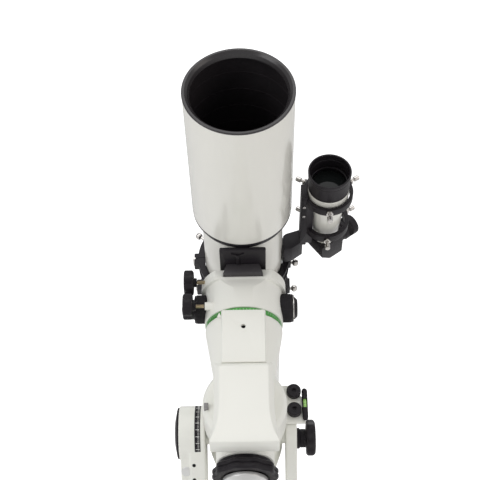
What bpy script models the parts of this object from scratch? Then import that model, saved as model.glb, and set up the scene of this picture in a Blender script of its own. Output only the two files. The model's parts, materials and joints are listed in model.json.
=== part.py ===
"""Refractor telescope with its right-angle finder, on the head of an equatorial mount.

Every separate piece of the real instrument is its own object. Sizes in the helper calls are in
millimetres and are turned into Blender's metres by MM.

Frames: the world origin is the centre of the round plate that bolts to a tripod or a pier, +Z up,
and the telescope points towards -Y and up. The polar frame starts at the crossing of the two
equatorial axes: its -Y runs along the polar axis towards the sky and its +Z runs along the
declination axis towards the tube. Pieces above the fork are placed in the polar frame.
"""
import bmesh
import bpy
from math import asin, cos, pi, radians, sin, tau
from mathutils import Matrix, Vector

MM = 0.001
GAP = 0.3                   # clearance between touching pieces

LATITUDE = 46.0             # elevation of the polar axis at rest, degrees
ALTITUDE_HEIGHT = 219.0     # altitude axis above the bottom of the mount
ALTITUDE_SETBACK = 92.0     # altitude axis behind the crossing of the equatorial axes

TUBE_OFFSET = 265.0         # optical axis above the polar axis
FRONT = -330.0              # front of the dew shield, along the polar frame's Y
SHIELD_R = 70.0             # dew shield
TUBE_R = 58.0               # main tube
TUBE_WALL = 2.0
TUBE_START, TUBE_END = 250.3, 838.0     # stations along the optical axis, from the front rim
LENS_R = 60.0
RING_R = 68.8
RING_WIDTH = 22.0
RING_HINGE_X = 75.0         # hinge of the rings' caps, left of the optical axis
RING_STATIONS = (385.0, 460.0)
FOCUS_STATION = 905.0       # focuser's pinion shaft
FOCUS_DROP = 40.0           # pinion shaft from the optical axis, towards the mount
DIAGONAL_STATION = 995.0

FINDER_X, FINDER_Z = 121.4, 275.0       # finder's own axis in the polar frame
FINDER_START = 178.6                    # station of its front rim

HEAD_R = 55.0               # turning head of the declination axis
SADDLE_R = 60.0
SADDLE_FLAT = 45.0          # flat front of the saddle, ahead of the declination axis
SHAFT_R = 9.0               # counterweight shaft
SHAFT_END = -385.0
WEIGHT_R = 60.0
WEIGHT_HEIGHT = 42.0
WEIGHT_TOPS = (-232.0, -279.0)
COLLAR_R = 57.0             # round housing on the polar axis
KNOB_DROP = 9.0             # altitude knob below the altitude axis
FINDER_ROLL = 36.0          # finder's eyepiece above the horizontal, seen along the tube

FINE, COARSE = 24, 12       # steps round large and small pieces

for old in list(bpy.data.objects):
    bpy.data.objects.remove(old, do_unlink=True)

SCENE = bpy.context.scene


def new_collection(name):
    group = bpy.data.collections.new(name)
    SCENE.collection.children.link(group)
    return group


PARTS = new_collection("refractor_telescope")
CUTTERS = new_collection("cutters")


def material(name, colour, roughness, metallic=0.0):
    made = bpy.data.materials.new(name)
    made.use_nodes = True
    shader = made.node_tree.nodes["Principled BSDF"]
    shader.inputs["Base Color"].default_value = (*colour, 1.0)
    shader.inputs["Roughness"].default_value = roughness
    shader.inputs["Metallic"].default_value = metallic
    return made


WHITE = material("white_paint", (0.80, 0.79, 0.74), 0.35)
BLACK = material("black_anodised", (0.03, 0.028, 0.032), 0.4)
PLASTIC = material("black_plastic", (0.035, 0.03, 0.035), 0.5)
STEEL = material("bright_steel", (0.62, 0.60, 0.57), 0.25, 1.0)
IRON = material("painted_iron", (0.72, 0.71, 0.67), 0.45)
GREEN = material("green_anodised", (0.10, 0.38, 0.09), 0.35, 0.6)
GLASS = material("coated_glass", (0.25, 0.35, 0.30), 0.05)
VIAL = material("vial_liquid", (0.35, 0.75, 0.20), 0.1)


# Frames -------------------------------------------------------------------------------------

def axis_empty(name, parent, place, tilt=0.0, roll=0.0):
    empty = bpy.data.objects.new(name, None)
    empty.empty_display_size = 0.05
    PARTS.objects.link(empty)
    empty.parent = parent
    empty.location = Vector(place) * MM
    empty.rotation_euler = (radians(tilt), radians(roll), 0)
    return empty


AZIMUTH = axis_empty("azimuth_axis", None, (0, 0, 0))
ALTITUDE = axis_empty("altitude_axis", AZIMUTH, (0, 0, ALTITUDE_HEIGHT), -LATITUDE)
POLAR = axis_empty("polar_axis", ALTITUDE, (0, -ALTITUDE_SETBACK, 0))
DECLINATION = axis_empty("declination_axis", POLAR, (0, 0, 0))
FINDER = axis_empty("finder_axis", DECLINATION, (FINDER_X, 0, FINDER_Z), 0.0, -FINDER_ROLL)
HOME = {AZIMUTH: (0, 0, 0), ALTITUDE: (0, ALTITUDE_SETBACK, 0), POLAR: (0, 0, 0),
        DECLINATION: (0, 0, 0), FINDER: (FINDER_X, 0, FINDER_Z)}

TURN = {"Z": (0, 0, 0), "-Z": (180, 0, 0), "Y": (-90, 0, 0), "-Y": (90, 0, 0),
        "X": (0, 90, 0), "-X": (0, -90, 0)}


def station(distance):
    """Polar-frame Y of a point that far behind the front rim."""
    return FRONT + distance


# Shapes -------------------------------------------------------------------------------------

def add(name, mesh, at, along, frame, look):
    thing = bpy.data.objects.new(name, mesh)
    thing.location = (Vector(at) - Vector(HOME[frame])) * MM
    thing.rotation_euler = [radians(a) for a in TURN[along]]
    thing.parent = frame
    if look:
        mesh.materials.append(look)
        PARTS.objects.link(thing)
    else:
        CUTTERS.objects.link(thing)
        thing.hide_render = True
        thing.display_type = "WIRE"
    return thing


def turned(name, profile, at, along, frame, look=None, steps=FINE):
    """Profile of (radius, height) points, down the outer side; a ring's profile returns inside."""
    mesh = bpy.data.meshes.new(name)
    points = [(r * MM, 0, h * MM) for r, h in profile]
    edges = [(i, i + 1) for i in range(len(points) - 1)]
    if profile[0][0] > 0:
        edges.append((len(points) - 1, 0))
    mesh.from_pydata(points, edges, [])
    thing = add(name, mesh, at, along, frame, look)
    screw = thing.modifiers.new("turn", "SCREW")
    screw.steps = screw.render_steps = steps
    screw.use_merge_vertices = True
    screw.merge_threshold = 0.0001
    screw.use_smooth_shade = False
    return thing


def rod(name, radius, low, high, at, along, frame, look=None, steps=COARSE):
    return turned(name, [(0, high), (radius, high), (radius, low), (0, low)], at, along, frame,
                  look, steps)


def pipe(name, outer, inner, low, high, at, along, frame, look=None, steps=FINE):
    return turned(name, [(outer, high), (outer, low), (inner, low), (inner, high)], at, along,
                  frame, look, steps)


def block(name, low, high, frame, look=None):
    low, high = Vector(low), Vector(high)
    mesh = bpy.data.meshes.new(name)
    shape = bmesh.new()
    bmesh.ops.create_cube(shape, size=1.0)
    bmesh.ops.scale(shape, vec=(high - low) * MM, verts=shape.verts)
    shape.to_mesh(mesh)
    shape.free()
    return add(name, mesh, (low + high) / 2, "Z", frame, look)


def round_edges(thing, width, segments=2):
    bevel = thing.modifiers.new("round", "BEVEL")
    bevel.width = width * MM
    bevel.segments = segments
    bevel.limit_method = "ANGLE"


def outline(name, points, thickness, at, along, frame, look=None):
    """A flat outline, points in its own X and Y, filled and pulled up to the thickness."""
    mesh = bpy.data.meshes.new(name)
    shape = bmesh.new()
    corners = [shape.verts.new((x * MM, y * MM, 0)) for x, y in points]
    face = shape.faces.new(corners)
    pulled = bmesh.ops.extrude_face_region(shape, geom=[face])["geom"]
    top = [v for v in pulled if isinstance(v, bmesh.types.BMVert)]
    bmesh.ops.translate(shape, vec=(0, 0, thickness * MM), verts=top)
    bmesh.ops.recalc_face_normals(shape, faces=shape.faces)
    shape.to_mesh(mesh)
    shape.free()
    return add(name, mesh, at, along, frame, look)


def arc(radius, start, end, steps, centre=(0.0, 0.0)):
    angles = [radians(start + (end - start) * i / steps) for i in range(steps + 1)]
    return [(centre[0] + radius * cos(a), centre[1] + radius * sin(a)) for a in angles]


def lobed(name, radius, dip, lobes, low, high, at, along, frame, look=None):
    """A hand wheel's rim: a disc whose edge waves in and out once a lobe."""
    steps = lobes * 6
    rim = [radius - dip * (1 - cos(lobes * tau * i / steps)) / 2 for i in range(steps)]
    points = [(r * cos(tau * i / steps), r * sin(tau * i / steps)) for i, r in enumerate(rim)]
    thing = outline(name, points, high - low, at, along, frame, look)
    thing.data.transform(Matrix.Translation((0, 0, low * MM)))
    return thing


def boolean(thing, other, operation):
    step = thing.modifiers.new(operation.lower(), "BOOLEAN")
    step.operation = operation
    step.object = other
    step.solver = "EXACT"


def cut(thing, *cutters):
    for cutter in cutters:
        boolean(thing, cutter, "DIFFERENCE")
    return thing


def join(thing, *others):
    for other in others:
        boolean(thing, other, "UNION")
    return thing


# Fork and base, in world directions ---------------------------------------------------------

def build_base():
    """The plate that stays on the tripod, with the peg that the azimuth screws push against."""
    plate = turned("pier_plate", [(0, 14), (78, 14), (80, 12), (80, 0), (0, 0)], (0, 0, 0), "Z",
                   AZIMUTH, BLACK)
    join(plate, block("peg_tool", (-6, -76, 10), (6, -62, 34), AZIMUTH))


def build_fork():
    floor = turned("fork_base", [(0, 56), (62, 56), (74, 44), (80, 34), (80, 14 + GAP),
                                 (0, 14 + GAP)], (0, 0, 0), "Z", AZIMUTH, WHITE)
    cut(floor, block("peg_slot_tool", (-16, -84, 8), (16, -56, 38), AZIMUTH))
    join(floor, block("left_foot_tool", (-93, -38, 30), (-46, 38, 56), AZIMUTH),
         block("right_foot_tool", (46, -38, 30), (72, 38, 56), AZIMUTH))
    cut(floor, rod("screw_bore_tool", 6.5, -130, 130, (0, -69, 25), "X", AZIMUTH))

    left = rod("left_arm", 38, 56, 93, (0, 0, ALTITUDE_HEIGHT), "-X", AZIMUTH, WHITE, FINE)
    join(left, block("left_rib_tool", (-77.5, -36, 56 + GAP), (-56, 36, 225), AZIMUTH),
         block("left_web_tool", (-91, -29, 56 + GAP), (-70, 31, 200), AZIMUTH))
    cut(left, rod("left_bore_tool", 16.4, 40, 88, (0, 0, ALTITUDE_HEIGHT), "-X", AZIMUTH, None,
                  FINE))
    turned("drum_cap", [(0, 3.6), (20, 2.8), (34, 0), (36, -1.2 + GAP), (36, -2.6 + GAP),
                        (0, -2.6 + GAP)],
           (-96, 0, ALTITUDE_HEIGHT), "-X", AZIMUTH, PLASTIC)

    right = rod("right_arm", 25, 56, 71.5, (0, 0, ALTITUDE_HEIGHT), "X", AZIMUTH, WHITE, FINE)
    join(right, block("right_rib_tool", (56, -25, 56 + GAP), (71.5, 33, 212), AZIMUTH))
    cut(right, rod("right_bore_tool", 16.4, 40, 68, (0, 0, ALTITUDE_HEIGHT), "X", AZIMUTH, None,
                   FINE))

    knob_at = (0, 0, ALTITUDE_HEIGHT - KNOB_DROP)
    knob = lobed("altitude_knob", 26, 2.2, 7, 85, 98, knob_at, "X", AZIMUTH, PLASTIC)
    join(knob, turned("altitude_stem_tool", [(0, 86), (12.7, 86), (12.7, 76), (14.6, 76),
                                             (14.6, 71.5 + GAP), (0, 71.5 + GAP)],
                      knob_at, "X", AZIMUTH))

    for side, along in (("left", "-X"), ("right", "X")):
        screw = lobed("azimuth_knob_" + side, 17, 2.5, 6, 92, 108, (0, -69, 25), along, AZIMUTH,
                      PLASTIC)
        join(screw, turned("azimuth_screw_tool_" + side, [(0, 94), (6, 94), (6, 12),
                                                          (2.5, 6 + GAP), (0, 6 + GAP)],
                           (0, -69, 25), along, AZIMUTH, None, COARSE))


# Polar axis housing -------------------------------------------------------------------------

def build_polar_housing():
    """Round housing on the altitude trunnions, hollow for the polar shaft and its worm wheel."""
    y0, y1 = 52.0 + GAP, 205.0
    housing = turned("polar_housing", [(40, y1), (44, y1 - 6), (52, 132), (52, 64), (55, 62),
                                       (55, y0), (24, y0), (24, 66), (44, 66), (44, 98),
                                       (30, 100), (30, y1)],
                     (0, 0, 0), "Y", ALTITUDE, WHITE)
    at = (0, ALTITUDE_SETBACK, 0)
    join(housing, pipe("left_trunnion_tool", 16, 9, 46, 86, at, "-X", ALTITUDE),
         pipe("right_trunnion_tool", 16, 9, 46, 64, at, "X", ALTITUDE),
         block("bracket_tool", (46, 62, 0), (84, 66, 60), ALTITUDE))
    cut(housing, rod("worm_room_tool", 8, -30, 30, (0, 82, -44), "X", ALTITUDE))

    turned("polar_rear_cap", [(0, 219), (24, 219), (27, 216), (39, 213), (39, y1 + GAP),
                              (0, y1 + GAP)], (0, 0, 0), "Y", ALTITUDE, PLASTIC)
    rod("polar_worm", 6.2, -26, 26, (0, 82, -44), "X", ALTITUDE, STEEL)

    for name, z in (("clamp_screw_upper", 46), ("clamp_screw_lower", 18)):
        screw = turned(name, [(0, 8.7), (9, 8.7), (10, 7.5), (10, GAP), (0, GAP)],
                       (68.5, 62, z), "-Y", ALTITUDE, BLACK)
        cut(screw, rod(name + "_hex_tool", 3.2, 4, 12, (68.5, 62, z), "-Y", ALTITUDE, None, 6))

    vial_at = (83.5, 57.6, 2)
    vial = turned("vial_body", [(0, 48), (3, 47), (4.1, 44), (4.1, 4), (3, 1), (0, 0)], vial_at,
                  "Z", ALTITUDE, PLASTIC)
    cut(vial, block("vial_window_tool", (78, 50, 20), (89, 57.4, 33), ALTITUDE),
        rod("vial_seat_tool", 2.6, 16, 33, vial_at, "Z", ALTITUDE))
    rod("level_vial", 2.3, 16 + GAP, 33 - GAP, vial_at, "Z", ALTITUDE, VIAL)


# Declination housing, turns on the polar axis ----------------------------------------------

def build_declination_housing():
    body = turned("declination_housing", [(0, 113), (54, 113), (54, 106), (40, 25), (38, 0),
                                          (38, -84), (0, -84)], (0, 0, 0), "Z", POLAR, WHITE)
    join(body, turned("collar_tool", [(0, 52), (COLLAR_R, 52), (COLLAR_R, -2), (52, -10),
                                      (0, -10)], (0, 0, 0), "Y", POLAR),
         block("pillar_tool", (-30, -65, 16), (30, 0, 109), POLAR))
    cut(body, rod("bore_tool", 20.5, -120, 120, (0, 0, 0), "Z", POLAR, None, FINE),
        block("front_seat_tool", (-39.5, -90, -90), (39.5, -44, 22 + GAP), POLAR))

    # Flared cover in front of the crossing of the axes: waisted sides, wider at the lower end.
    top, low = 38.5, 44.0
    flare = [(-low, -84), (low, -84), (low, -76)]
    flare += [(top + (low - top) * (1 - t / 6) ** 2, -76 + 56 * t / 6) for t in range(1, 7)]
    side = flare[3:]
    flare += [(top, 22), (-top, 22)] + [(-x, z) for x, z in reversed(side)] + [(-low, -76)]
    cover = outline("front_cover", [(x, z) for x, z in flare], 30, (0, -44 - GAP, 0), "-Y", POLAR,
                    WHITE)
    round_edges(cover, 3.0)

    ring = lobed("lock_ring", 43, 3.0, 10, 89, 105, (0, 0, 0), "-Z", POLAR, PLASTIC)
    join(ring, rod("lock_ring_neck_tool", 36, 84 + GAP, 92, (0, 0, 0), "-Z", POLAR, None, FINE))
    cut(ring, rod("lock_ring_bore_tool", 19, 70, 120, (0, 0, 0), "-Z", POLAR, None, FINE))
    collar = turned("shaft_collar", [(0, 118), (24, 118), (29, 110), (29, 105 + GAP),
                                     (18, 105 + GAP), (18, 86), (0, 86)], (0, 0, 0), "-Z", POLAR,
                    STEEL)
    cut(collar, rod("shaft_socket_tool", SHAFT_R + GAP, 96, 130, (0, 0, 0), "-Z", POLAR))

    rod("counterweight_shaft", SHAFT_R, 96 + GAP, -SHAFT_END, (0, 0, 0), "-Z", POLAR, STEEL)
    turned("toe_stop", [(0, 14), (12, 14), (15, 11), (15, 3), (13, GAP), (0, GAP)],
           (0, 0, SHAFT_END), "-Z", POLAR, BLACK)

    turned("polar_shaft", [(20, 202), (20, 88), (37.5, 88), (37.5, 76), (20, 76), (20, 52 + GAP),
                           (13, 52 + GAP), (13, 202)], (0, 0, 0), "Y", POLAR, STEEL)

    for name, top_z in zip(("counterweight_upper", "counterweight_lower"), WEIGHT_TOPS):
        turned(name, [(SHAFT_R + GAP, 0), (WEIGHT_R - 4, 0), (WEIGHT_R, -4),
                      (WEIGHT_R, 4 - WEIGHT_HEIGHT), (WEIGHT_R - 4, -WEIGHT_HEIGHT),
                      (SHAFT_R + GAP, -WEIGHT_HEIGHT)], (0, 0, top_z), "Z", POLAR, IRON)


# Turning head and saddle --------------------------------------------------------------------

def build_head():
    pipe("setting_circle", 53, 30, 113 + GAP, 120 - GAP, (0, 0, 0), "Z", DECLINATION, GREEN)
    rod("declination_shaft", 20, -80, 120 - GAP, (0, 0, 0), "Z", DECLINATION, STEEL, FINE)

    head = rod("saddle_head", HEAD_R, 120, 174, (0, 0, 0), "Z", DECLINATION, WHITE, FINE)
    corner = asin(SADDLE_FLAT / SADDLE_R) * 180 / pi
    plan = arc(SADDLE_R, -corner, 180 + corner, 22)
    join(head, outline("saddle_top_tool", plan, 15, (0, 0, 170), "Z", DECLINATION))
    cut(head, outline("channel_tool", [(-75, 174), (28.8, 174), (24.9, 186), (-75, 186)], 140,
                      (0, 70, 0), "-Y", DECLINATION))

    jaw = outline("saddle_jaw", plan, 10.7, (0, 0, 174 + GAP), "Z", DECLINATION, WHITE)
    cut(jaw, outline("jaw_side_tool", [(-29.8, 170), (70, 170), (70, 190), (-23.6, 190)], 140,
                     (0, 70, 0), "-Y", DECLINATION),
        rod("jaw_bore_tool", 2.9, 20, 70, (0, -22, 179.4), "-X", DECLINATION))

    for name, along, cap in (("side_drum_left", "-X", [(0, 88), (8, 87), (14, 82), (14, 70)]),
                             ("side_drum_right", "X", [(0, 76), (12, 76), (16, 72), (16, 70)])):
        turned(name, cap + [(20, 69), (20, 44), (0, 44)], (0, 0, 148), along, DECLINATION, PLASTIC)
        cut(head, rod(name + "_seat_tool", 20 + GAP, 44 - GAP, 80, (0, 0, 148), along, DECLINATION,
                      None, FINE))

    cut(head, rod("clutch_bore_tool", 2.9, 28, 70, (0, -33, 134), "-X", DECLINATION))

    for name, y, z, inner in (("saddle_knob", -22, 179.4, 33), ("clutch_knob", -33, 134, 30)):
        knob = lobed(name, 18.5, 2.2, 7, 70.5, 84, (0, y, z), "-X", DECLINATION, PLASTIC)
        join(knob, rod(name + "_stem_tool", 6.5, 66, 72, (0, y, z), "-X", DECLINATION),
             rod(name + "_screw_tool", 2.6, inner, 68, (0, y, z), "-X", DECLINATION))

    bar = outline("dovetail_bar", [(-28, 174.4), (28, 174.4), (23, 189.7), (-23, 189.7)], 220,
                  (0, station(496), 0), "-Y", DECLINATION, BLACK)
    round_edges(bar, 0.8, 1)
    block("ring_plate", (-32, station(243), 190), (32, station(505), 195.5), DECLINATION, BLACK)


# Tube rings ---------------------------------------------------------------------------------

def build_rings():
    for name, middle in zip(("front_ring", "rear_ring"), RING_STATIONS):
        half = RING_WIDTH / 2
        low, high = station(middle - half), station(middle + half)
        at = (0, station(middle), TUBE_OFFSET)
        for part, sign in (("base", -1), ("cap", 1)):
            ring = pipe(f"{name}_{part}", RING_R, TUBE_R + 0.6, -half, half, at, "Y",
                        DECLINATION, BLACK)
            seam = TUBE_OFFSET + sign * GAP
            lug_far = seam + sign * 9
            lugs = [block(f"{name}_{part}_lug_tool_{side}", (x0, low + 3, min(seam, lug_far)),
                          (x1, high - 3, max(seam, lug_far)), DECLINATION)
                    for side, x0, x1 in (("l", -RING_HINGE_X, -62), ("r", 62, 71.5))]
            join(ring, *lugs)
            far = TUBE_OFFSET - sign * 90
            cut(ring, block(f"{name}_{part}_half_tool", (-95, low - 5, min(seam, far)),
                            (95, high + 5, max(seam, far)), DECLINATION))
            if part == "base":
                join(ring, block(name + "_foot_tool", (-27, low, 195.5 + GAP),
                                 (27, high, TUBE_OFFSET - 62), DECLINATION))
                cut(ring, rod(name + "_screw_hole_tool", 2.9, 60, 80,
                              (0, station(middle), TUBE_OFFSET - 5), "X", DECLINATION))
        turned(name + "_screw", [(0, 83), (3.5, 82.5), (5.5, 80), (5.5, 76), (2.6, 73.5),
                                 (2.6, 69.5), (0, 69.5)],
               (0, station(middle), TUBE_OFFSET - 5), "X", DECLINATION, STEEL, COARSE)


# Optical tube -------------------------------------------------------------------------------

def lens_profile(rear_centre, rear_edge, front_edge, front_centre, radius, steps=4):
    """Front and rear faces fall off with the square of the radius; rear first."""
    turns = [i / steps for i in range(steps + 1)]
    rear = [(radius * t, rear_centre + (rear_edge - rear_centre) * t * t) for t in turns]
    front = [(radius * t, front_centre + (front_edge - front_centre) * t * t) for t in turns]
    return rear + front[::-1]


def build_tube():
    at = (0, FRONT, TUBE_OFFSET)

    def tube_piece(name, profile, look):
        turned(name, profile, at, "Y", DECLINATION, look)

    tube_piece("dew_shield", [(SHIELD_R, 236), (SHIELD_R, 9 + GAP), (SHIELD_R - 2, 9 + GAP),
                              (SHIELD_R - 2, 236)], WHITE)
    tube_piece("dew_shield_rim", [(SHIELD_R + 0.6, 9), (SHIELD_R + 0.6, 1.5), (SHIELD_R - 0.6, 0),
                                  (64, 0), (61, 4), (61, 9)], BLACK)
    tube_piece("lens_cell", [(55.3, 262), (55.3, 250), (66, 250), (66, 241.3), (69.7, 241.3),
                             (69.7, 236 + GAP), (65.5, 236 + GAP), (65.5, 212), (62, 212),
                             (LENS_R + 0.5, 214), (LENS_R + 0.5, 240), (54, 240), (54, 262)],
               BLACK)
    tube_piece("crown_lens", lens_profile(229, 227, 221, 216.5, LENS_R), GLASS)
    tube_piece("flint_lens", lens_profile(239.6, 238.6, 227.6, 229.6, LENS_R), GLASS)
    tube_piece("main_tube", [(TUBE_R, TUBE_END), (TUBE_R, TUBE_START),
                             (TUBE_R - TUBE_WALL, TUBE_START), (TUBE_R - TUBE_WALL, TUBE_END)],
               WHITE)
    tube_piece("tail_flange", [(61, 858), (61, TUBE_END + GAP), (55.3, TUBE_END + GAP),
                               (55.3, 826), (48, 826), (48, 858)], BLACK)


# Focuser, diagonal and eyepiece -------------------------------------------------------------

def build_focuser():
    at = (0, FRONT, TUBE_OFFSET)
    pinion_z = TUBE_OFFSET - FOCUS_DROP
    pinion_at = (0, station(FOCUS_STATION), pinion_z)

    body = turned("focuser_body", [(36, 932), (37.5, 930), (37.5, 876), (50, 868),
                                   (58, 858 + GAP), (32.4, 858 + GAP), (32.4, 932)],
                  at, "Y", DECLINATION, BLACK)
    join(body, block("pinion_box_tool", (-22, station(884), pinion_z - 14),
                     (22, station(926), TUBE_OFFSET - 34), DECLINATION))
    cut(body, rod("pinion_bore_tool", 9, -60, 60, pinion_at, "X", DECLINATION))

    turned("drawtube", [(36, 958), (36, 934), (31.8, 934), (31.8, 848), (28, 848), (28, 932),
                        (25.7, 936), (25.7, 958)], at, "Y", DECLINATION, STEEL)

    turned("focus_knobs", [(0, 60), (22, 60), (24, 58), (24, 42), (22, 40), (8, 40), (8, -40),
                           (22, -40), (24, -42), (24, -58), (22, -60), (0, -60)],
           pinion_at, "X", DECLINATION, BLACK)
    turned("fine_knob", [(0, 74), (14, 74), (15.5, 72.5), (15.5, 62), (14, 60 + GAP),
                         (0, 60 + GAP)], pinion_at, "X", DECLINATION, BLACK)

    y = station(DIAGONAL_STATION)
    mid = TUBE_OFFSET
    sides = [(y - 29, mid - 29), (y + 8, mid - 29), (y + 29, mid - 8), (y + 29, mid + 31),
             (y - 29, mid + 31)]
    body = outline("star_diagonal", [(-z, yy) for yy, z in sides], 58, (-29, 0, 0), "X",
                   DECLINATION, BLACK)
    round_edges(body, 2.0, 1)
    join(body, rod("nose_tool", 25.3, 938, station_of(y - 27), at, "Y", DECLINATION, None, FINE),
         turned("holder_tool", [(0, 54), (21, 54), (21, 44), (25, 40), (25, 29), (0, 29)],
                (0, y, mid), "Z", DECLINATION))
    cut(body, rod("nose_bore_tool", 21, 930, station_of(y - 8), at, "Y", DECLINATION, None, FINE),
        rod("holder_bore_tool", 16.2, 24, 60, (0, y, mid), "Z", DECLINATION, None, FINE))

    eyepiece = turned("eyepiece", [(0, 128), (20, 128), (24, 124), (24, 86), (21, 84), (21, 62),
                                   (17, 54 + GAP), (15.8, 54 + GAP), (15.8, 30), (0, 30)],
                      (0, y, mid), "Z", DECLINATION, BLACK)
    cut(eyepiece, turned("eye_cup_tool", [(0, 140), (18, 140), (11, 116), (0, 116)], (0, y, mid),
                         "Z", DECLINATION),
        rod("field_stop_tool", 12.5, 20, 60, (0, y, mid), "Z", DECLINATION))


def station_of(y):
    """Distance behind the front rim of a polar-frame Y."""
    return y - FRONT


# Finder -------------------------------------------------------------------------------------

def build_finder():
    at = (FINDER_X, FRONT, FINDER_Z)
    s0 = FINDER_START

    def piece(name, profile, look):
        turned(name, [(r, s0 + s) for r, s in profile], at, "Y", DECLINATION, look)

    piece("finder_cell", [(25.0, 62), (25.0, 56), (28, 44), (29, 20), (30, 0), (27.5, 0),
                          (26.6, 26), (25.6, 27), (25.6, 37), (23, 38), (23, 62)], PLASTIC)
    piece("finder_lens", lens_profile(36, 34, 31, 28.5, 25.0), GLASS)
    piece("finder_tube", [(18.5, 150), (22, 100), (24, 62 + GAP), (21.4, 62 + GAP), (20, 100),
                          (16.5, 150)], WHITE)

    bracket = pipe("finder_bracket", 35, 30.4, s0 + 40, s0 + 56, at, "Y", DECLINATION, PLASTIC)
    join(bracket, pipe("rear_loop_tool", 33, 27, s0 + 112, s0 + 126, at, "Y", DECLINATION),
         block("bridge_tool", (83, station(s0 + 40), FINDER_Z - 16),
               (92.5, station(s0 + 156), FINDER_Z + 8), DECLINATION),
         outline("arm_tool", [(59.2, 247), (59.2, 272), (64, 276), (88, 284), (88, 262),
                              (72, 250)],
                 34, (0, station(364), 0), "-Y", DECLINATION))

    at_screw = (FINDER_X, station(s0 + 48), FINDER_Z)
    cut(bracket, rod("finder_screw_hole_tool", 2.4, 20, 45, at_screw, "-Z", DECLINATION))
    turned("finder_screw", [(0, 51), (3.8, 51), (3.8, 43), (2.1, 42), (2.1, 29.8), (0, 29.8)],
           at_screw, "-Z", DECLINATION, STEEL, COARSE)

    y = station(s0 + 171)
    sides = [(y - 20, -20), (y + 4, -20), (y + 21, -3), (y + 21, 20), (y - 20, 20)]
    # The prism turns the light to the right: the chamfer is on the left.
    prism = outline("finder_prism", [(x, yy) for yy, x in sides], 38,
                    (FINDER_X, 0, FINDER_Z - 19), "Z", FINDER, PLASTIC)
    round_edges(prism, 1.5, 1)
    corner = (FINDER_X, y, FINDER_Z)
    cut(prism, rod("finder_nose_tool", 14, -30, -8, corner, "Y", FINDER),
        rod("finder_side_tool", 13, 10, 30, corner, "X", FINDER, None, FINE))
    turned("finder_eyepiece", [(0, 56), (13, 56), (15.5, 53), (15.5, 32), (14, 30),
                               (14, 21 + GAP), (12.6, 21 + GAP), (12.6, 12), (0, 12)],
           corner, "X", FINDER, PLASTIC)


build_base()
build_fork()
build_polar_housing()
build_declination_housing()
build_head()
build_rings()
build_tube()
build_focuser()
build_finder()

for thing in PARTS.objects:
    if thing.type == "MESH" and len(thing.data.polygons) > 0:
        thing.data.shade_smooth()
        thing.data.set_sharp_from_angle(angle=radians(35))
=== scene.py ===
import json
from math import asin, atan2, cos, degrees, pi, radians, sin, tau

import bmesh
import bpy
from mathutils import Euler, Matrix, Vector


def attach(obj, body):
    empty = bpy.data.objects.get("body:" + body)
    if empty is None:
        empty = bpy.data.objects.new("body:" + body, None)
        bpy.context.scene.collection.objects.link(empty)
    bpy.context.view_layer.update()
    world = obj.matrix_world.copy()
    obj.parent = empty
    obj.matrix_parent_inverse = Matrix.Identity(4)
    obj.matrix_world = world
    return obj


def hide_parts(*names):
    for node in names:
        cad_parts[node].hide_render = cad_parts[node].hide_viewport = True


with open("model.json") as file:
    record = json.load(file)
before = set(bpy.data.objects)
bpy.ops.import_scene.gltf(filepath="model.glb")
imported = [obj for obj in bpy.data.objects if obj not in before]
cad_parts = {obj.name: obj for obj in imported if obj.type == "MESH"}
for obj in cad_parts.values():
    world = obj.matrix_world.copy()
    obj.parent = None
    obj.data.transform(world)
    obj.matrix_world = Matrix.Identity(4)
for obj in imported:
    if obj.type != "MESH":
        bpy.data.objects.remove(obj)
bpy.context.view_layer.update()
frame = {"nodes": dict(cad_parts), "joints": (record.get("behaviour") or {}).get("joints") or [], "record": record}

# %% [markdown]
# # A refractor telescope on its equatorial mount
# The frame that was just loaded is the plain engineering model: 60 solids with 24 flat sides on every
# round piece. This lesson makes the surfaces that the eye sees. The idea that carries most of it: a
# turned piece is fully described by its outline, so we read the outline back from the plain solid,
# round its corners as a lathe hand would, and turn it again finely. Where the plain solid is too
# plain, the outline is drawn here instead. Castings are melted together from simple shapes, and
# everything that repeats is laid out with Geometry Nodes.

MM = 0.001
joint = {j["name"]: j for j in frame["joints"]}
body_of = {n: body for body, group in frame["record"]["behaviour"]["bodies"].items() for n in group}

WORLD = Matrix.Identity(4)
sky = Vector(joint["polar_axis_turn"]["axis"])
up_tube = Vector(joint["declination_axis_turn"]["axis"])
crossing = Vector(joint["declination_axis_turn"]["pos_m"])
POLAR = Matrix.Translation(crossing) @ Matrix((Vector((1, 0, 0)), -sky, up_tube)).transposed().to_4x4()
TURNS = {"Z": (0, 0, 0), "-Z": (180, 0, 0), "Y": (-90, 0, 0), "-Y": (90, 0, 0), "X": (0, 90, 0),
    "-X": (0, -90, 0)}
print("polar axis is", round(degrees(atan2(sky.z, -sky.y)), 1), "degrees above the horizon")


# %% [markdown]
# ## Placing things
# Every piece is drawn in millimetres in its own small frame, where Z is the axis that it was turned
# about. `stand` gives the matrix that carries such a drawing to its place. We apply it to the mesh, not
# to the object, so that each finished object sits at the origin and its patterns can't slide.

# %% Frames in millimetres
def stand(basis, at=(0, 0, 0), along="Z"):
    """Millimetres in a drawing's own frame to metres in the world."""
    turn = Euler([radians(a) for a in TURNS[along]]).to_matrix().to_4x4()
    return basis @ Matrix.Translation(Vector(at) * MM) @ turn @ Matrix.Scale(MM, 4)


def extent(node, basis=POLAR):
    """Lowest and highest corner of a CAD node in a frame's own directions, in millimetres."""
    back = basis.inverted()
    spots = [(back @ v.co) / MM for v in frame["nodes"][node].data.vertices]
    return (Vector([min(s[i] for s in spots) for i in range(3)]), Vector([max(s[i] for s in spots)
        for i in range(3)]))


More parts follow.
